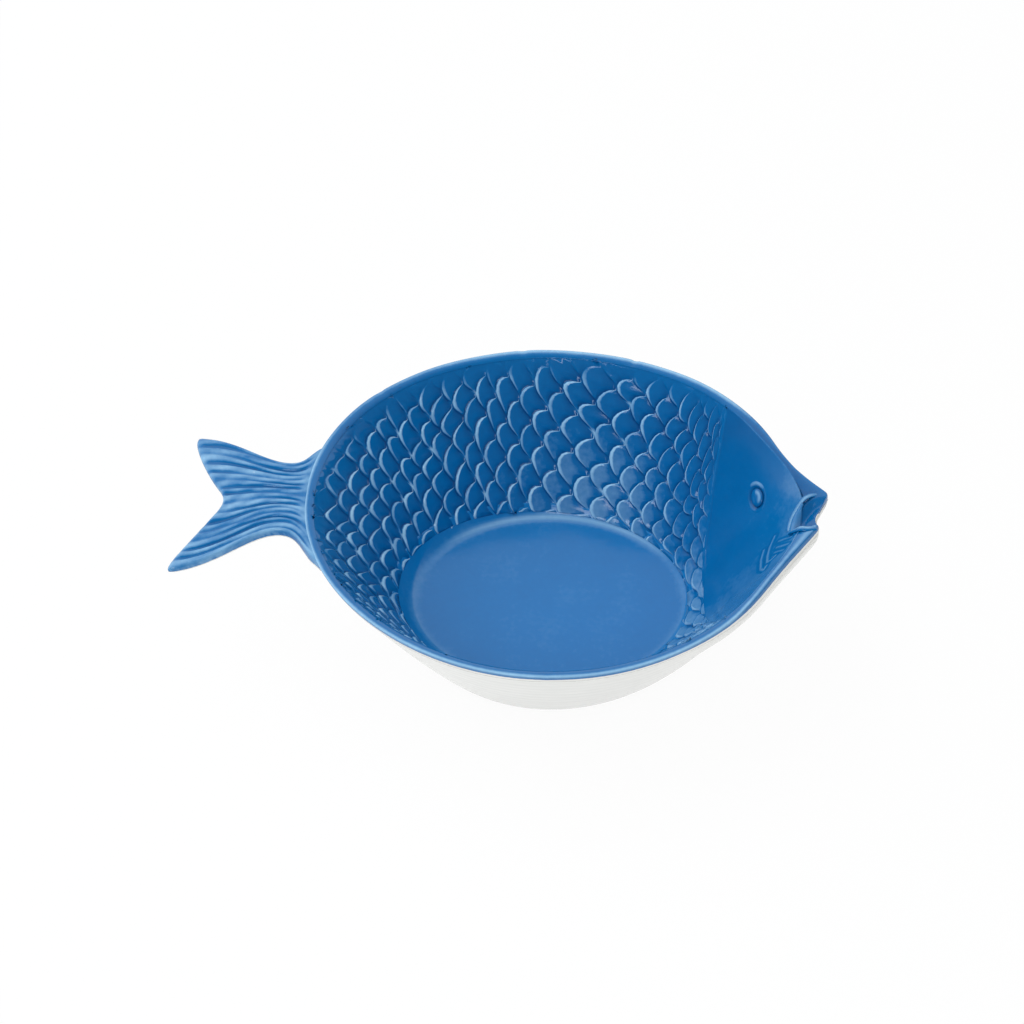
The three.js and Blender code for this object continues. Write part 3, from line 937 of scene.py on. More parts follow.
@dataclass
class ScaleWall:
    """Carved scales: each lies over the one behind it, with its free edge to the tail."""

    pitch: float = 6.2
    tail_x: float = -76.0
    gill_column: int = 27
    columns: int = 40
    half_rows: int = 17
    broad_columns: tuple[float, float, float] = (21.0, 13.4, 1.5)  # width, middle, reach
    crowd: tuple[float, float] = (0.3, 20.0)  # strength and first column
    fan: tuple[float, float, float] = (0.016, -45.0, 7.0)  # spread, centre, first half row
    row_step: float = 9.1
    # widening of the rows: width, middle, reach toward the tail, reach toward the head
    broad_rows: tuple[float, float, float, float] = (3.8, -35.0, 42.0, 95.0)
    droop: tuple[float, float] = (1.2, -97.0)  # slope and where it starts
    crest: float = 0.95
    valley: float = -0.5
    low: float = 0.06
    tail_low: float = 0.12
    top_z: float = 94.6
    roll: float = 0.21
    spots: tuple[float, ...] = (0.0, 0.25, 0.48, 0.64, 0.72, 1.0)
    wander: float = 0.85
    rim_sink: float = 0.22
    plain_glaze: float = -0.12
    # painted sheen along the near side of the head and painted reflection of the window low on
    # the back, drawn as paler glaze
    near_sheen: float = 0.42
    back_reflection: float = 0.38
    # section of a scale, from under the scales ahead of it over its free edge: share of
    # its length (past 1 over the roll), height and glaze
    steps: tuple[tuple[float, float, float], ...] = (
        (0.0, 0.0, -1.0), (0.13, 0.16, -0.52), (0.5, 0.66, -0.12), (0.93, 0.98, -0.05),
        (1.0, 1.0, 0.6), (1.5, 0.7, 0.85), (2.0, 0.0, -1.0))
    table_span: tuple[float, float] = (-156.0, 132.0)
    table_pace: float = 2.0
    table_reach: float = 150.0
    table_step: float = 0.5

    def __post_init__(self) -> None:
        """Measure the way over the wall's sections once."""
        self.table_x = np.arange(*self.table_span, self.table_pace)
        self.table_y = np.arange(0.0, self.table_reach, self.table_step)
        x, y = np.meshgrid(self.table_x, self.table_y, indexing="ij")
        z = FORM.height(FORM.locate(x, y)[1])
        paces = np.hypot(np.diff(z, axis=1), self.table_step)
        start = np.zeros((len(self.table_x), 1))
        self.table = np.concatenate([start, np.cumsum(paces, axis=1)], axis=1)

    def walked(self, x: Array, y: Array) -> Array:
        """Distance over the wall from the middle line to a plan point.

        Args:
            x: Places along the fish.
            y: Places across the fish, from nought.

        Returns:
            Distances.
        """
        column = np.clip(
            (x - self.table_x[0]) / self.table_pace, 0.0, len(self.table_x) - 1.001)
        row = np.clip(y / self.table_step, 0.0, len(self.table_y) - 1.001)
        i, j = column.astype(int), row.astype(int)
        a, b = column - i, row - j
        near = self.table[i, j] * (1 - a) + self.table[i + 1, j] * a
        far = self.table[i, j + 1] * (1 - a) + self.table[i + 1, j + 1] * a
        return near * (1 - b) + far * b

    def sideways(self, x: Array, way: Array) -> Array:
        """Place across the fish that lies this far over the wall from the middle line.

        Args:
            x: Places along the fish.
            way: Distances over the wall, negative toward the belly.

        Returns:
            Places across the fish.
        """
        low, high = np.zeros(x.shape), np.full(x.shape, self.table_reach - 1.0)
        for _ in range(30):
            middle = (low + high) / 2.0
            short = self.walked(x, middle) < np.abs(way)
            low, high = np.where(short, middle, low), np.where(short, high, middle)
        return np.sign(way) * low

    def lattice(self, column: Array, half_row: Array) -> tuple[Array, Array]:
        """Even lattice of the scales: crowded at the gill and fanned out at the rim.

        Args:
            column: Places along the lattice, counted from the gill toward the tail.
            half_row: Places across the lattice, two to a scale.

        Returns:
            Places along the fish, and ways over the wall from the middle line.
        """
        count = self.gill_column - column
        wide, middle, reach = self.broad_columns
        x = self.tail_x + self.pitch * count + wide / (1.0 + np.exp((middle - count) / reach))
        x = x - self.crowd[0] * np.maximum(count - self.crowd[1], 0.0) ** 2
        spread, centre, start = self.fan
        x = centre + (x - centre) * (1.0 + spread * np.maximum(np.abs(half_row) - start, 0.0))
        wide, middle, tailward, headward = self.broad_rows
        away = (x - middle) / np.where(x < middle, tailward, headward)
        axis = -self.droop[0] * soft_ramp(self.droop[1] - x, 4.0)
        return x, axis + (self.row_step + wide * np.exp(-away * away)) * half_row

    def place(
        self, column: Array, half_row: Array, lift: Array,
    ) -> tuple[Array, Array, Array]:
        """Points of the carved wall over the lattice of scales.

        Args:
            column: Places along the lattice, counted from the gill toward the tail.
            half_row: Places across the lattice, two to a scale.
            lift: Heights over the wall.

        Returns:
            Points, numbers that say which border a point was trimmed to, and how much of
            the carving is left under the rim and over the floor.
        """
        x, way = self.lattice(column, half_row)
        uneven = (np.sin(1.9 * column + 2.6 * half_row)
                  + np.sin(0.83 * column - 1.7 * half_row + 1.0))
        across = (np.sin(1.3 * column - 2.1 * half_row + 0.5)
                  + np.sin(0.71 * column + 1.1 * half_row))
        way = way + self.wander * across
        x = x + self.wander * 0.6 * uneven
        y = self.sideways(x, way)
        border = GILL.at(y)
        trimmed = np.where(x > border, 1, 0)
        x = np.minimum(x, border)
        theta, level = FORM.locate(x, y)
        top = FORM.level_at(self.top_z)
        low = self.bottom(theta)
        trimmed = np.where(level > top, 2, np.where(level < low, 4, trimmed))
        level = np.clip(level, low, top)
        left = (1.0 - ease(0.85, 0.972, level)) * (0.15 + 0.85 * ease(0.0, 5.0, border - x))
        lift = lift * left * (0.25 + 0.75 * ease(0.0, 0.07, level - low))
        lift = lift - self.rim_sink * ease(0.962, 0.982, level)
        return FORM.inner(theta, level, lift), trimmed, left

    @classmethod
    def bottom(cls, theta: Array) -> Array:
        """Level at which the scales begin: higher toward the tail."""
        return cls.low + cls.tail_low * ((1.0 - np.cos(theta)) / 2.0) ** 2

    def free_edge(self, v: Array) -> Array:
        """Reach of a scale's free edge toward the tail, from its belly end to its back end.

        Args:
            v: Places across the scale, from -1 to 1.

        Returns:
            Reach in columns, nought at both ends and one near the middle.
        """
        round_end = np.sqrt(np.clip(1.0 - (v / self.spots[-2]) ** 2, 0.0, 1.0))
        slant_end = 1.0 - np.minimum(np.abs(v), 1.0) ** 1.8
        return np.where(v > 0.0, round_end, slant_end)

    def build(self) -> None:
        """Build and dress the scales."""
        mesh = fresh_mesh()
        points: list[bmesh.types.BMVert] = []
        columns, rows, lifts, glaze = [], [], [], []
        shares, heights, depths = (np.array(v) for v in zip(*self.steps))
        count = len(self.steps) - 1
        for i in range(-1, self.columns):
            for r in range(-self.half_rows, self.half_rows + 1):
                if (i + r) % 2 or not self.wanted(i, r):
                    continue
                made, across, along = grid_shares(mesh, 2 * len(self.spots) - 2, count)
                points.extend(made)
                v = self.spread(across)
                step = np.rint(along * count).astype(int)
                head = i - 1 + self.free_edge(np.where(v < 0, v + 1, v - 1))
                tail = np.maximum(i + self.free_edge(v), head)
                roll = np.minimum(self.roll, 0.4 * (tail - head))
                body = np.minimum(shares[step], 1.0)
                over = np.clip(shares[step] - 1.0, 0.0, 1.0)
                columns.append(head + (tail - roll - head) * body + roll * over)
                rows.append(r + v)
                own = 1.0 + 0.18 * math.sin(7.3 * i + 4.1 * r)
                swell = ease(0.0, 0.5, tail - head) * own
                lifts.append(self.valley + (self.crest - self.valley) * heights[step] * swell)
                # the pale glaze of the free edge fades toward its belly end: thin glaze on the
                # edge, with painted highlight where the edge faces the light
                lit_edge = 1.0 - 0.85 * ease(0.15, 0.85, -v)
                lit_edge = lit_edge * (1.0 + 0.3 * math.sin(5.7 * i - 3.3 * r))
                glaze.append(depths[step] * np.where(depths[step] > 0, lit_edge, 1.0))
        places, trimmed, left = self.place(
            np.concatenate(columns), np.concatenate(rows), np.concatenate(lifts))
        plain = self.plain_glaze
        depth = plain + (np.concatenate(glaze) - plain) * left + self.painted_sheen(places)
        settle(mesh, points, places, {Layer.GLAZE: depth})
        border = dict(zip(points, trimmed))
        outside = [f for f in mesh.faces
                   if border[f.verts[0]] and len({border[v] for v in f.verts}) == 1]
        bmesh.ops.delete(mesh, geom=outside, context="FACES")
        Piece("scales", ("scale_relief",), "scale_blue",
              BlueGlaze("scale_blue_glaze", cloud=0.12, drift=0.3), wall=1.4).finish_mesh(mesh)

    def painted_sheen(self, places: Array) -> Array:
        """Painted sheen along the near side of the head, and a painted reflection of the window
        low on the back, both drawn as paler glaze.

        Args:
            places: Points of the scales.

        Returns:
            Glaze to add.
        """
        x, y, z = places.T
        # painted sheen along the near side of the head
        near = self.near_sheen * ease(20.0, 90.0, x) * ease(60.0, -15.0, y)
        # painted reflection of the window, low on the back wall
        back = bell(x, 32.0, 42.0) * ease(70.0, 30.0, z) * ease(20.0, 50.0, y)
        return near + self.back_reflection * back

    def spread(self, across: Array) -> Array:
        """Places across a scale, from -1 to 1, close together where its edge turns.

        Args:
            across: Shares across the scale.

        Returns:
            Places.
        """
        back = np.array(self.spots)
        belly = back - 1.0
        step = np.rint(across * (2 * len(back) - 2)).astype(int)
        return np.concatenate([belly, back[1:]])[step]

    def wanted(self, column: int, half_row: int) -> bool:
        """Tell whether a scale falls on the wall between floor, rim and gill.

        Args:
            column: Place along the lattice.
            half_row: Place across the lattice.

        Returns:
            True where it does.
        """
        x, way = self.lattice(np.array(float(column)), np.array(float(half_row)))
        y = self.sideways(x, way)
        level = float(FORM.locate(x, y)[1])
        return float(x) < float(GILL.at(y)) + 2 * self.pitch and -0.45 < level < 1.3


@dataclass
class HeadWall:
    """Smooth head between the gill and the rim, with folds under the mouth."""

    around: int = 200
    rows: int = 96
    top_z: float = 94.6
    socket: float = 1.3
    fold: float = 0.4
    fold_width: float = 0.65
    fold_light: float = 0.26
    fold_shade: float = 0.28
    folds: tuple[Line, ...] = (
        ((131.9, -6.8), (128.9, -13.2), (127.2, -20.7), (126.6, -28.2), (128.4, -29.4),
         (131.3, -28.2)),
        ((125.7, -11.2), (123.7, -18.9), (122.8, -30.3), (124.3, -35.9), (126.0, -32.0)),
        ((133.6, -14.3), (137.4, -17.2), (140.6, -19.9)),
        ((132.4, -19.2), (138.3, -25.9)),
        ((130.9, -23.0), (135.4, -28.9)))
    fold_strengths: tuple[float, ...] = (1.0, 1.0, 0.5, 0.6, 0.45)
    plain_glaze: float = -0.06
    # painted light in the glaze: a sheen toward the mouth, lighter on the near side, and painted
    # shade on the far side
    mouth_sheen: float = 0.2
    near_light: float = 0.2
    far_shade: float = 0.26
    chin_depth: float = 0.5
    chin: Line = ((139.6, -16.8), (144.6, -20.3), (148.6, -21.2))

    def build(self) -> None:
        """Build and dress the head."""
        mesh = fresh_mesh()
        points, across, along = grid_shares(mesh, self.around, self.rows)
        top = FORM.level_at(self.top_z)
        ends = np.array([GILL.end(top, side) for side in Side])
        spot = across * 2.0 - 1.0
        spot = (1.0 + spot * (0.6 + 0.4 * np.abs(spot))) / 2.0
        y = ends[0] + (ends[1] - ends[0]) * spot
        theta_0, level_0 = FORM.locate(GILL.at(y), y, rounds=10)
        theta_end = FORM.locate(GILL.at(ends), ends, rounds=10)[0]
        theta_1 = theta_end[0] + (theta_end[1] - theta_end[0]) * spot
        theta = theta_0 + (theta_1 - theta_0) * along
        level = level_0 + (top - level_0) * along
        plan = FORM.bare_inner(theta, level)[:, :2]
        places = MOUTH.carve(FORM.inner(theta, level, self.relief(theta, level, plan)))
        settle(mesh, points, places, {Layer.GLAZE: self.glaze(plan)})
        glaze = BlueGlaze("head_blue_glaze", cloud=0.16, drift=0.16)
        Piece("head", ("head_panel",), "head_blue", glaze, wall=1.4).finish_mesh(mesh)

    def relief(self, theta: Array, level: Array, plan: Array) -> Array:
        """Height of the head's folds and eye socket over its smooth wall.

        Args:
            theta: Angles round the bowl.
            level: Levels on the wall.
            plan: Plan points.

        Returns:
            Heights.
        """
        lift = -self.socket * (1.0 - ease(1.0, 1.45, Eye().share(theta, level)))
        for line, strength in zip(self.folds, self.fold_strengths):
            ridge = bell(line_distance(plan, line), 0.0, self.fold_width)
            lift = lift + self.fold * strength * ridge
        return lift - self.chin_depth * bell(line_distance(plan, self.chin), 0.0, 1.3)

    def glaze(self, plan: Array) -> Array:
        """Glaze over the head: paler on the folds and darker beside them, with a painted sheen
        toward the mouth, painted light on the near side and painted shade on the far side.

        Args:
            plan: Plan points.

        Returns:
            Glaze of each point.
        """
        depth = np.full(len(plan), self.plain_glaze)
        for line, strength in zip(self.folds, self.fold_strengths):
            gap = line_distance(plan, line)
            depth = depth + self.fold_light * strength * bell(gap, 0.0, 0.6)
            depth = depth - self.fold_shade * bell(gap, 1.5, 0.7)
        depth = depth - self.chin_depth * bell(line_distance(plan, self.chin), 0.0, 1.2)
        # painted light and shade: darker on the far side, lighter on the near side, and a painted
        # sheen toward the mouth
        far, near = ease(25.0, 80.0, plan[:, 1]), ease(10.0, -45.0, plan[:, 1])
        mouth = ease(128.0, 150.0, plan[:, 0])
        return (depth + self.mouth_sheen * mouth + self.near_light * near
                - self.far_shade * far)


@dataclass
class GillRidge:
    """Raised double line that parts the head from the scales."""

    along: int = 170
    across: int = 12
    width: float = 6.4
    proud: float = 0.35
    sunk: float = -0.35
    hump: tuple[float, float] = (-0.4, 1.5)  # middle and reach across the line
    groove: tuple[float, float] = (1.6, 0.9)  # the same for the dark crease beside it
    groove_depth: float = 0.55
    run_on: float = 1.03  # share past the rim, so that no gap shows at the ends
    top_z: float = 94.5

    def build(self) -> None:
        """Build and dress the ridge."""
        mesh = fresh_mesh()
        points, across, along = grid_shares(mesh, self.across, self.along)
        top = FORM.level_at(self.top_z)
        belly, back = (GILL.end(top, side) for side in Side)
        y = (belly * (1.0 - along) + back * along) * self.run_on
        side = (across - 0.5) * self.width
        x = GILL.at(y) + side + 0.25 * np.sin(y * 0.21)
        theta, level = FORM.locate(x, y, rounds=6)
        level = np.minimum(level, top)
        hump = bell(side, *self.hump)
        strong = 0.2 + 0.8 * ease(-30.0, 30.0, y)
        strong = strong * (1.0 - ease(top - 0.04, top - 0.008, level))
        lift = self.sunk + (self.proud * strong - self.sunk) * hump
        groove = self.groove_depth * bell(side, *self.groove)
        glaze = -0.1 + strong * (0.08 * hump - groove)
        settle(mesh, points, FORM.inner(theta, level, lift), {Layer.GLAZE: glaze})
        Piece("gill", ("gill_ridge",), "gill_blue",
              BlueGlaze("gill_blue_glaze", drift=0.3), wall=1.0).finish_mesh(mesh)


@dataclass
class RimBead:
    """Rounded blue rim, broad at the beak, with the mouth cut through it."""

    around: int = 640
    across: int = 24
    low_z: float = 88.6
    inner_z: float = 94.0
    mouth_drop: float = 7.0
    crest_width: float = 2.4
    crest_drop: float = 0.3
    inner_slope: float = 1.1
    outer_round: float = 0.8
    dense: float = 0.72
    beak_width: float = 0.16
    # height, count and shift of each slow wave, then angle and depth of each nick
    waves: tuple[tuple[float, float, float], ...] = (
        (0.22, 3.0, 1.0), (0.14, 7.0, 2.2), (0.07, 16.0, 0.0))
    nicks: tuple[tuple[float, float], ...] = ((-1.59, 0.7), (1.68, 0.5), (1.2, 0.6), (2.35, 0.4))
    nick_width: float = 0.012
    # painted shade in the mouth's pocket
    pocket_shade: float = -0.3
    white_from: float = 2.4
    white_fade: float = 0.45

    def build(self) -> None:
        """Build and dress the rim."""
        mesh = fresh_mesh()
        points, across, along = grid_shares(mesh, self.around, self.across + 1)
        turn = across * 2.0 - 1.0
        theta = math.pi * ((1.0 - self.dense) * turn + self.dense * turn ** 3)
        step = np.rint(along * (self.across + 1)) % (self.across + 1)
        swing = step / self.across * math.pi
        bead = self.bead(theta, swing)
        places = MOUTH.carve(bead)
        # where the mouth is cut through the rim, the glaze turns to painted shade and the white
        # glaze is left out
        pocket = ease(0.05, 0.6, bead[:, 2] - places[:, 2])
        glaze = self.glaze(theta, swing)
        settle(mesh, points, places, {
            Layer.GLAZE: glaze + (self.pocket_shade - glaze) * pocket,
            Layer.WHITE: self.white(theta, swing) * (1.0 - pocket)})
        Piece("rim", ("rim_bead",), "rim_blue",
              BlueGlaze("rim_blue_glaze", drift=0.3)).finish_mesh(mesh)

    def beak(self, theta: Array) -> Array:
        """Share of the beak at an angle round the bowl."""
        return np.exp(-(theta / self.beak_width) ** 4)

    def bead(self, theta: Array, swing: Array) -> Array:
        """Points of the bead before the mouth is cut.

        Args:
            theta: Angles round the bowl.
            swing: Angles over the bead, from 0 inside to pi outside.

        Returns:
            Points, with x, y and z in the last axis.
        """
        crest = FORM.rim_z - self.crest_drop + sum(
            high * np.sin(often * theta + shift) for high, often, shift in self.waves)
        for place, depth in self.nicks:
            crest = crest - depth * bell(theta, place, self.nick_width)
        within = swing < math.pi / 2.0
        bottom = np.where(within, self.inner_z, self.low_z) - self.mouth_drop * self.beak(theta)
        bend = np.where(within, self.inner_slope, self.outer_round)
        z = bottom + (crest - bottom) * np.clip(np.sin(swing), 0.0, 1.0) ** bend
        turned = np.abs(np.cos(swing)) ** bend
        inner = FORM.bare_inner(theta, FORM.level_of(z))
        outer = FORM.outer(theta, FORM.outer_level(theta, z))
        full = np.ones(len(theta))
        broad = np.linalg.norm(
            (FORM.outer(theta, full) - FORM.bare_inner(theta, full))[:, :2], axis=1)
        top = 1.0 - self.crest_width / np.maximum(broad, 2.0 * self.crest_width)
        share = np.where(within, top * (1.0 - turned), top + (1.0 - top) * turned)
        made = inner + (outer - inner) * share[:, None]
        made[:, 2] = z
        return made

    def glaze(self, theta: Array, swing: Array) -> Array:
        """Glaze of the bead: a pale line along its crest, partly thin glaze and partly painted
        highlight, with painted light and shade at the head and painted shade on the far left.

        Args:
            theta: Angles round the bowl.
            swing: Angles over the bead.

        Returns:
            Glaze of each point.
        """
        head = ease(0.72, 0.88, np.cos(theta))
        far = head * (theta > 0.0)
        left = ease(0.1, 0.8, -np.cos(theta)) * ease(0.1, 0.6, np.sin(theta))
        # the pale line along the crest is thin glaze and painted highlight; it is moved inward on
        # the back and on the near side of the head, where the highlight falls
        crest = 1.8 - 0.28 * ease(0.0, 0.6, np.sin(theta)) - 0.5 * head * (theta < 0.0)
        # painted light: lighter on the near side of the head; painted shade over the top of the
        # beak on the far side and along the far left
        plain = -0.16 + (head - far) * 0.1 - 0.3 * far * ease(0.1, 0.6, swing) - 0.15 * left
        strong = 1.0 - 0.45 * head - 0.4 * left
        glaze = plain + strong * bell(swing, crest, 0.42)
        # painted highlight along the inner edge of the far rim at the head
        return glaze + 0.5 * far * bell(swing, 0.3, 0.2)

    def white(self, theta: Array, swing: Array) -> Array:
        """White glaze on the outside of the bead: higher under the lower lip.

        Args:
            theta: Angles round the bowl.
            swing: Angles over the bead.

        Returns:
            Share of white at each point.
        """
        upper, lower = ease(-0.02, 0.04, theta), ease(0.0, -0.06, theta)
        start = self.white_from + self.beak(theta) * (0.5 * upper - 0.35 * lower)
        return ease(start, start + self.white_fade, swing)


@dataclass
class Lips:
    """Two rolled lips that run from the rim down to the corner of the mouth."""

    along: int = 48
    across: int = 16
    upper: Line = (
        (157.0, 9.3), (152.0, 7.6), (146.2, 3.4), (141.2, -3.3), (138.8, -12.2))
    lower: Line = (
        (139.2, -13.9), (143.6, -16.9), (148.4, -18.3), (152.4, -18.1), (155.2, -17.2))
    upper_size: tuple[float, float] = (1.5, 0.85)  # half width and half height
    lower_size: tuple[float, float] = (1.9, 1.2)
    tip: tuple[float, float] = (149.0, 157.0)  # where the lips sink into the rim
    tip_sink: float = 0.8

    def build(self) -> None:
        """Build and dress both lips."""
        glaze = BlueGlaze("lip_blue_glaze", drift=0.25)
        for name, line, size in (("upper_lip", self.upper, self.upper_size),
                                 ("lower_lip", self.lower, self.lower_size)):
            self.roll(name, np.array(line), size, glaze)

    def roll(
        self, name: str, line: Array, size: tuple[float, float], glaze: BlueGlaze,
    ) -> None:
        """Build one lip as a tapered roll along a line in plan.

        Args:
            name: Name of the lip and of the solid it stands for.
            line: Corners of its line in plan.
            size: Half width and half height at its middle.
            glaze: Finish of the lip.
        """
        mesh = fresh_mesh()
        points, across, along = grid_shares(mesh, self.across, self.along)
        spot = along * (len(line) - 1)
        plan = smooth(line, spot)
        step = 0.02
        ahead = smooth(line, spot + step) - smooth(line, spot - step)
        ahead /= np.linalg.norm(ahead, axis=1, keepdims=True)
        swing = across * math.tau
        slim = np.sqrt(np.clip(1.0 - (2.0 * along - 1.0) ** 8, 0.0, 1.0))
        side = size[0] * slim * np.cos(swing)
        rise = size[1] * slim * np.sin(swing)
        x, y = plan[:, 0] - ahead[:, 1] * side, plan[:, 1] + ahead[:, 0] * side
        level = FORM.locate(plan[:, 0], plan[:, 1], rounds=8)[1]
        ground = soft_min(FORM.height(level), np.full(len(level), FORM.rim_z - 0.6), 1.0)
        tip = ease(*self.tip, plan[:, 0])
        places = np.stack([x, y, ground + rise - self.tip_sink * tip * tip], -1)
        depth = -0.05 + (0.75 - 0.55 * tip) * np.clip(np.sin(swing + 0.4), 0.0, 1.0) ** 4
        settle(mesh, points, places, {Layer.GLAZE: depth})
        Piece(name, (name,), "lip_blue", glaze).finish_mesh(mesh)


@dataclass
class Eye:
    """Eye on the head: a smooth pellet in a groove, with a raised rim around it."""

    theta: float = 0.258
    level: float = 0.744
    tall: tuple[float, float] = (0.0442, 0.0308)  # half axis as an angle and a level
    broad: tuple[float, float] = (-0.0300, 0.0305)
    pellet_height: float = 1.3
    ring: tuple[float, float, float] = (0.95, 1.42, 1.85)  # inner edge, crest, outer edge
    ring_height: float = 0.1
    brow: float = 0.5
    groove: float = -0.8
    around: int = 48

    def share(self, theta: Array, level: Array) -> Array:
        """Distance from the eye's middle, in pellets.

        Args:
            theta: Angles round the bowl.
            level: Levels on the wall.

        Returns:
            Distances.
        """
        sides = np.linalg.inv(np.array([self.broad, self.tall]).T)
        return np.linalg.norm(
            np.stack([theta - self.theta, level - self.level], -1) @ sides.T, axis=-1)

    def build(self) -> None:
        """Build and dress the pellet and the ring."""
        glaze = BlueGlaze("eye_blue_glaze", drift=0.2)
        self.dome("eye_pellet", 0.0, 1.0, self.pellet_lift, glaze)
        self.dome("eye_ring", self.ring[0] * 0.9, self.ring[2], self.ring_lift, glaze)

    def pellet_lift(self, radius: Array, turn: Array) -> tuple[Array, Array]:
        """Height and glaze of the pellet at a distance from its middle and a turn.

        Args:
            radius: Distances, in pellets.
            turn: Turns round the eye.

        Returns:
            Heights and glaze.
        """
        share = np.clip(radius, 0.0, 1.0)
        lift = self.groove + (self.pellet_height - self.groove) * np.sqrt(1.0 - share ** 2.2)
        # painted highlight: a pale crescent on one side of the pellet
        highlight_side = ease(-0.2, 0.9, np.cos(turn - 0.35))
        light = 0.55 * bell(share, 0.62, 0.22) * highlight_side
        return lift, light - 0.8 * share ** 6

    def ring_lift(self, radius: Array, turn: Array) -> tuple[Array, Array]:
        """Height and glaze of the ring at a distance from the eye's middle and a turn.

        Args:
            radius: Distances, in pellets.
            turn: Turns round the eye.

        Returns:
            Heights and glaze.
        """
        inner, crest, outer = self.ring
        climb = ease(inner * 0.95, crest, radius) * (1.0 - ease(crest, outer, radius))
        sunk = np.where(radius < crest, self.groove, -0.35)
        over = ease(0.55, 0.98, np.cos(turn - 1.45))
        high = self.ring_height + self.brow * over
        depth = np.where(radius < crest, -0.75, -0.08) * (1.0 - climb)
        return sunk + (high - sunk) * climb, depth + (-0.08 + 0.5 * over) * climb

    def dome(
        self,
        name: str,
        start: float,
        end: float,
        profile: Profile,
        glaze: BlueGlaze,
    ) -> None:
        """Build a round piece on the wall from a profile.

        Args:
            name: Name of the piece and of the solid it stands for.
            start: Inner radius.
            end: Outer radius.
            profile: Height and glaze at a radius and a turn.
            glaze: Finish of the piece.
        """
        mesh = fresh_mesh()
        points, across, along = grid_shares(mesh, self.around, 16)
        radius = start + (end - start) * along
        turn = across * math.tau
        aside, upright = radius * np.cos(turn), radius * np.sin(turn)
        theta = self.theta + aside * self.broad[0] + upright * self.tall[0]
        level = self.level + aside * self.broad[1] + upright * self.tall[1]
        lift, depth = profile(radius, turn)
        settle(mesh, points, FORM.inner(theta, level, lift), {Layer.GLAZE: depth})
        Piece(name, (name,), "eye_blue", glaze, wall=0.8).finish_mesh(mesh)


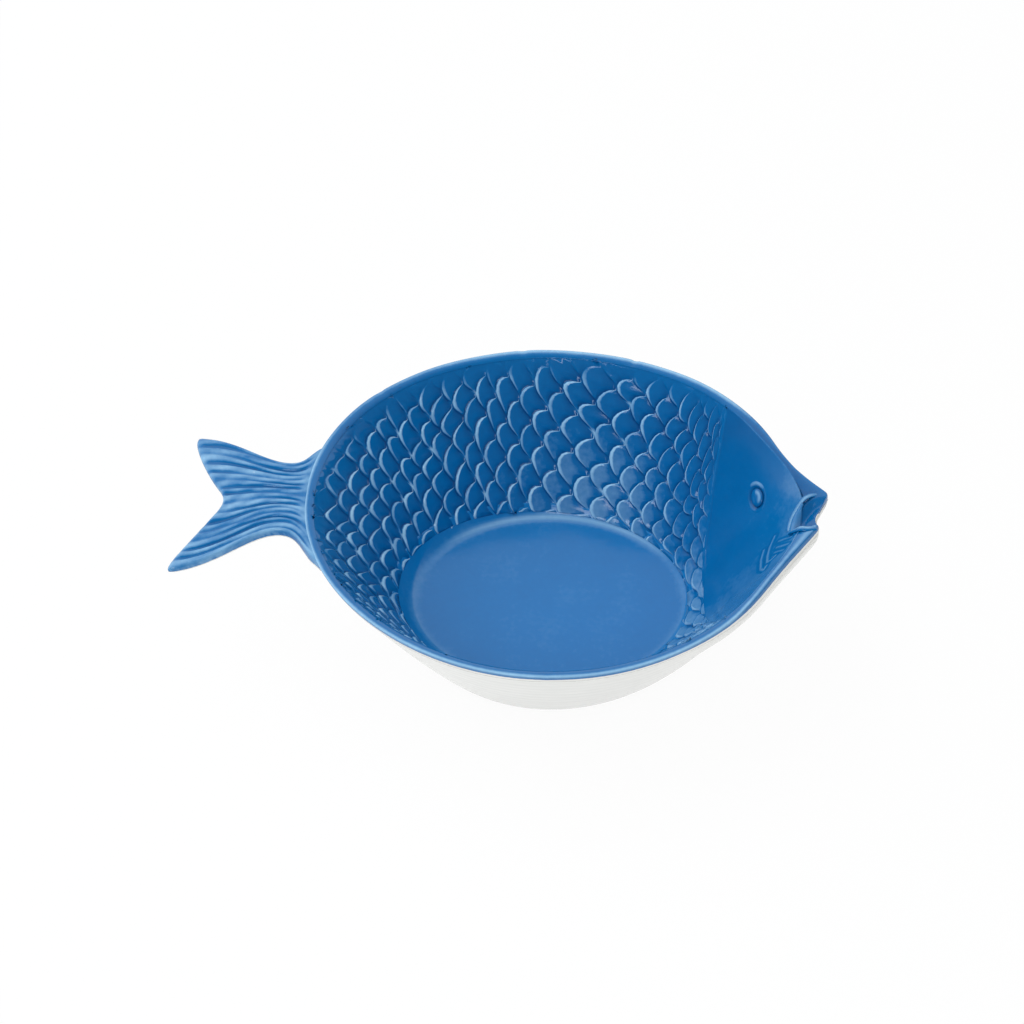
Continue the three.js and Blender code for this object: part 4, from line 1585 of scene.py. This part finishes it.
@dataclass
class TailFin:
    """Forked tail fin: ribbed on top, rounded at its edge and flush with the rim."""

    lower_edge: Line = ((-19, -57), (12, 21.5), (32, -44.8))
    upper_edge: Line = ((-17, 52), (10, 11.5), (31, 58.5))
    lower_tip: tuple[float, float] = (79.6, -49.0)
    fork: tuple[float, float] = (43.0, 6.2)
    bulge: tuple[float, float] = (59.0, 27.0)
    upper_tip: tuple[float, float] = (64.8, 54.8)
    # push, place and reach of the fillets at the two sides of the root
    fillets: tuple[tuple[float, float, float], ...] = ((-7.0, -6.0, 7.0), (3.0, -8.0, 6.0))
    fork_rounding: float = 0.08
    ribs: int = 15
    rib_depth: float = 1.3
    gather: float = 0.08
    blunt: tuple[float, float] = (0.035, 0.03)
    blunt_reach: float = 0.03
    root_thickness: float = 8.0
    tip_thickness: float = 5.0
    drop: float = 0.9
    edge: float = 2.8
    across: int = 182
    along: int = 72
    length: float = 62.0

    def behind_rim(self, points: Sequence[tuple[float, float]]) -> Array:
        """Turn places measured back from the rim's tail end into plan points."""
        return np.array([(-FORM.rim_half_length - back, side) for back, side in points])

    def trailing(self, share: Array) -> Array:
        """Plan points of the trailing edge, from the lower tip over the fork to the upper.

        Args:
            share: Shares across the fin.

        Returns:
            Plan points.
        """
        low, fork, bulge, high = self.behind_rim(
            (self.lower_tip, self.fork, self.bulge, self.upper_tip))
        total = np.zeros((len(share), 2))
        offsets = np.linspace(-self.fork_rounding, self.fork_rounding, 9)
        fade = np.minimum(1.0, np.minimum(share, 1.0 - share) / self.fork_rounding)
        for offset in offsets:
            s = np.clip(share + offset * fade, 0.0, 1.0)[:, None]
            first = low + (fork - low) * np.clip(2 * s, 0, 1)
            t = np.clip(2 * s - 1, 0, 1)
            second = fork * (1 - t) ** 2 + bulge * 2 * t * (1 - t) + high * t * t
            total += np.where(s < 0.5, first, second)
        return total / len(offsets)

    def spot(self, along: Array, share: Array) -> Array:
        """Plan points of the fin.

        Args:
            along: Shares from the root to the trailing edge.
            share: Shares across, from the lower edge to the upper.

        Returns:
            Plan points.
        """
        lower, upper = self.behind_rim(self.lower_edge), self.behind_rim(self.upper_edge)
        s, t = share[:, None], along[:, None]
        first, second, third = (a + (b - a) * s for a, b in zip(lower, upper))
        last = self.trailing(share)
        made = (first * (1 - t) ** 3 + second * 3 * t * (1 - t) ** 2
                + third * 3 * t * t * (1 - t) + last * t ** 3)
        back = -FORM.rim_half_length - made[:, 0]
        for (push, middle, reach), edge in zip(self.fillets, (1.0 - share, share)):
            made[:, 1] += push * edge ** 4 * bell(back, middle, reach)
        return made

    def root(self, share: Array) -> Array:
        """Share along the fin at which it meets the crest of the rim.

        Args:
            share: Shares across the fin.

        Returns:
            Shares from the root to the trailing edge.
        """
        low, high = np.zeros(len(share)), np.full(len(share), 0.6)
        inset = FORM.rim_thickness * 0.55
        for _ in range(30):
            middle = (low + high) / 2.0
            plan = self.spot(middle, share)
            reach = np.hypot(plan[:, 0] / (FORM.rim_half_length - inset),
                             plan[:, 1] / (FORM.rim_half_width - inset))
            low, high = np.where(reach < 1, middle, low), np.where(reach < 1, high, middle)
        return low

    def build(self) -> None:
        """Build and dress the fin."""
        mesh = fresh_mesh()
        points, across, along = grid_shares(mesh, self.across, self.along + 1)
        capped = along <= 0.0
        along = np.clip(along * (self.along + 1) - 1.0, 0.0, None) / self.along
        swing = across * 2.0
        top = swing <= 1.0
        share = np.where(top, swing, 2.0 - swing)
        share = share - self.gather * np.sin(math.tau * share) / math.tau
        run = 1.0 - (1.0 - along) ** 1.25
        start = self.root(share)
        blunt = sum(cut * np.exp(-away / self.blunt_reach)
                    for cut, away in zip(self.blunt, (share, 1.0 - share)))
        plan = self.spot(start + (1.0 - start) * run * (1.0 - blunt), share)
        mid = self.spot(1e-6 + start + (1.0 - start) * run, np.full(len(share), 0.5))
        off = np.maximum(np.abs(2 * share - 1), 0.05)
        width = 2.0 * np.linalg.norm(plan - mid, axis=1) / off
        side = np.minimum(share, 1.0 - share) * np.clip(width, 30.0, 110.0)
        back = (1.0 - run) * self.length
        gap = np.clip(soft_min(side, back, 0.5) / self.edge, 0.0, 1.0)
        gap = np.where((side <= 1e-9) | (back <= 1e-9), 0.0, gap)
        plump = np.sqrt(1.0 - (1.0 - gap) ** 2)
        thick = self.root_thickness + (self.tip_thickness - self.root_thickness) * run
        level = FORM.rim_z - self.drop * ease(0.0, 0.25, run) - 0.2 - 0.6 * ease(0.05, 0.0, run)
        deep = self.ribbed(share, run)
        upper = level - thick * 0.5 * (1.0 - plump) - self.rib_depth * deep * plump
        under = level - thick * 0.5 - thick * 0.5 * plump
        z = np.where(capped, level - thick * 0.5, np.where(top, upper, under))
        # painted highlight: pale streaks along the ribs, off the grooves
        highlight_streak = 0.28 * np.sin(37.0 * share + 9.0 * run) * np.sin(11.0 * run + 19.0 * share)
        ribbed = 0.34 - 0.85 * deep + 0.25 * (1.0 - plump) + highlight_streak * (1.0 - deep)
        glaze = np.where(top, ribbed, 0.1) - 0.1 * (1.0 - ease(0.0, 0.12, run))
        # painted highlight: white glaze in streaks on the upper lobe
        shine = np.clip(highlight_streak * 2.5 - 0.2, 0.0, 0.4) * ease(0.45, 0.7, share) * (1.0 - deep)
        white = np.where(top, shine, ease(0.1, 0.7, plump))
        settle(mesh, points, np.stack([plan[:, 0], plan[:, 1], z], -1),
               {Layer.GLAZE: glaze, Layer.WHITE: white})
        Piece("tail", ("tail_fin",), "tail_blue",
              BlueGlaze("tail_blue_glaze", drift=0.35, cloud=0.2)).finish_mesh(mesh)

    def ribbed(self, share: Array, run: Array) -> Array:
        """Depth of the grooves between the fin's hand-cut ribs.

        Args:
            share: Shares across the fin.
            run: Shares from the root to the trailing edge.

        Returns:
            Depths, from 0 on a rib to about 1 in a groove.
        """
        warp = 0.007 * np.sin(17.0 * share + 3.0 * run) + 0.005 * np.sin(41.0 * share - 5.0 * run)
        ribs = np.cos(math.pi * self.ribs * (share + warp)) ** 2
        deep = ribs ** 2.2 * ease(0.02, 0.12, run) * (1.0 - 0.6 * ease(0.93, 1.0, run))
        return deep * (0.75 + 0.35 * np.sin(29.0 * share + 4.0 * run + 1.0))


@dataclass(frozen=True)
class Lamp:
    """Soft lamp that faces the bowl, with its place and size in metres."""

    name: str
    place: tuple[float, float, float]
    size: tuple[float, float]
    watts: float
    mirrored: bool
    daylight: str = "#F4FAFF"

    def hang(self) -> None:
        """Add the lamp to the scene."""
        data = bpy.data.lights.new(self.name, "AREA")
        data.shape = "RECTANGLE"
        data.size, data.size_y = self.size
        data.energy = self.watts
        data.color = linear(self.daylight)[:3]
        made = bpy.data.objects.new(self.name, data)
        made.visible_glossy = self.mirrored
        made.location = self.place
        made.rotation_euler = (-Vector(self.place)).to_track_quat("-Z", "Y").to_euler()
        bpy.context.collection.objects.link(made)


@dataclass
class Studio:
    """White floor, soft light and the camera."""

    elevation: float = 48.8
    distance: float = 2790.0
    lens: float = 167.94
    aim: tuple[float, float, float] = (-22.2, -3.1, 96.0)
    floor_size: float = 12.0
    floor_white: str = "#F4F4F4"
    floor_glow: float = 0.94
    world: float = 0.70
    front: float = 0.08
    lamps: tuple[Lamp, ...] = (
        Lamp("softbox", (-1.0, 0.6, 1.7), (2.0, 2.0), 20.5, mirrored=False),
        Lamp("window", (-0.22, -0.97, 1.02), (0.55, 0.42), 3.2, mirrored=True))

    def build(self) -> None:
        """Build the floor, the world, the lamps and the camera."""
        self.floor()
        self.sky()
        for lamp in self.lamps:
            lamp.hang()
        self.camera()

    def floor(self) -> None:
        """Build the floor, white to the eye, with the bowl's shadow on it."""
        mesh = bmesh.new()
        bmesh.ops.create_grid(mesh, x_segments=4, y_segments=4, size=self.floor_size / 2)
        made = link_mesh("studio_floor", mesh)
        paint, tree = blank_material("white_paper")
        matt = add_node(tree, "ShaderNodeBsdfDiffuse", {"Color": linear(self.floor_white)})
        glow = add_node(tree, "ShaderNodeEmission", {"Color": (1, 1, 1, 1), "Strength": 1.0})
        path = add_node(tree, "ShaderNodeLightPath")
        seen = add_node(tree, "ShaderNodeMath", {
            0: path.outputs["Is Camera Ray"], 1: path.outputs["Is Glossy Ray"]},
            operation="MAXIMUM")
        share = add_node(tree, "ShaderNodeMath", {
            0: seen.outputs[0], 1: self.floor_glow}, operation="MULTIPLY")
        mix = add_node(tree, "ShaderNodeMixShader", {
            0: share.outputs[0], 1: matt.outputs[0], 2: glow.outputs[0]})
        add_node(tree, "ShaderNodeOutputMaterial", {"Surface": mix.outputs[0]})
        made.data.materials.append(paint)

    def sky(self) -> None:
        """Light the room evenly, white where it is seen."""
        room = bpy.data.worlds.new("studio")
        room.use_nodes = True
        tree = room.node_tree
        tree.nodes.clear()
        path = add_node(tree, "ShaderNodeLightPath")
        place = add_node(tree, "ShaderNodeTexCoord").outputs["Generated"]
        toward = add_node(tree, "ShaderNodeSeparateXYZ", {0: place})
        sheen = add_node(tree, "ShaderNodeMapRange", {
            0: toward.outputs["Y"], 1: -0.25, 2: 0.5, 3: self.front, 4: 1.0},
            interpolation_type="SMOOTHSTEP")
        mirrored = add_node(tree, "ShaderNodeMix", {
            "Factor": path.outputs["Is Glossy Ray"], 2: self.world, 3: sheen.outputs[0]})
        seen = add_node(tree, "ShaderNodeMath", {
            0: path.outputs["Is Camera Ray"], 1: path.outputs["Is Transmission Ray"]},
            operation="MAXIMUM")
        level = add_node(tree, "ShaderNodeMath", {
            0: seen.outputs[0], 1: mirrored.outputs[0]}, operation="MAXIMUM")
        back = add_node(tree, "ShaderNodeBackground", {
            "Color": (1, 1, 1, 1), "Strength": level.outputs[0]})
        add_node(tree, "ShaderNodeOutputWorld", {"Surface": back.outputs[0]})
        bpy.context.scene.world = room

    def camera(self) -> None:
        """Place the camera at the angle of the picture."""
        data = bpy.data.cameras.new("camera")
        data.sensor_width = 36.0
        data.lens = self.lens
        data.clip_end = 100.0
        made = bpy.data.objects.new("camera", data)
        tilt = math.radians(self.elevation)
        back = Vector((0.0, -math.cos(tilt), math.sin(tilt)))
        made.location = Vector(np.array(self.aim) * MM + ORIGIN) + back * self.distance * MM
        made.rotation_euler = (-back).to_track_quat("-Z", "Y").to_euler()
        bpy.context.collection.objects.link(made)
        bpy.context.scene.camera = made


def main() -> None:
    """Build the bowl piece by piece, then the studio."""
    logging.basicConfig(level=logging.INFO, format="%(name)s: %(message)s")
    bpy.context.scene.view_settings.view_transform = "Standard"
    for part in (WhiteBody(), WellFloor(), ScaleWall(), HeadWall(), GillRidge(),
                 RimBead(), Lips(), Eye(), TailFin(), Studio()):
        part.build()


if __name__ == "__main__":
    main()
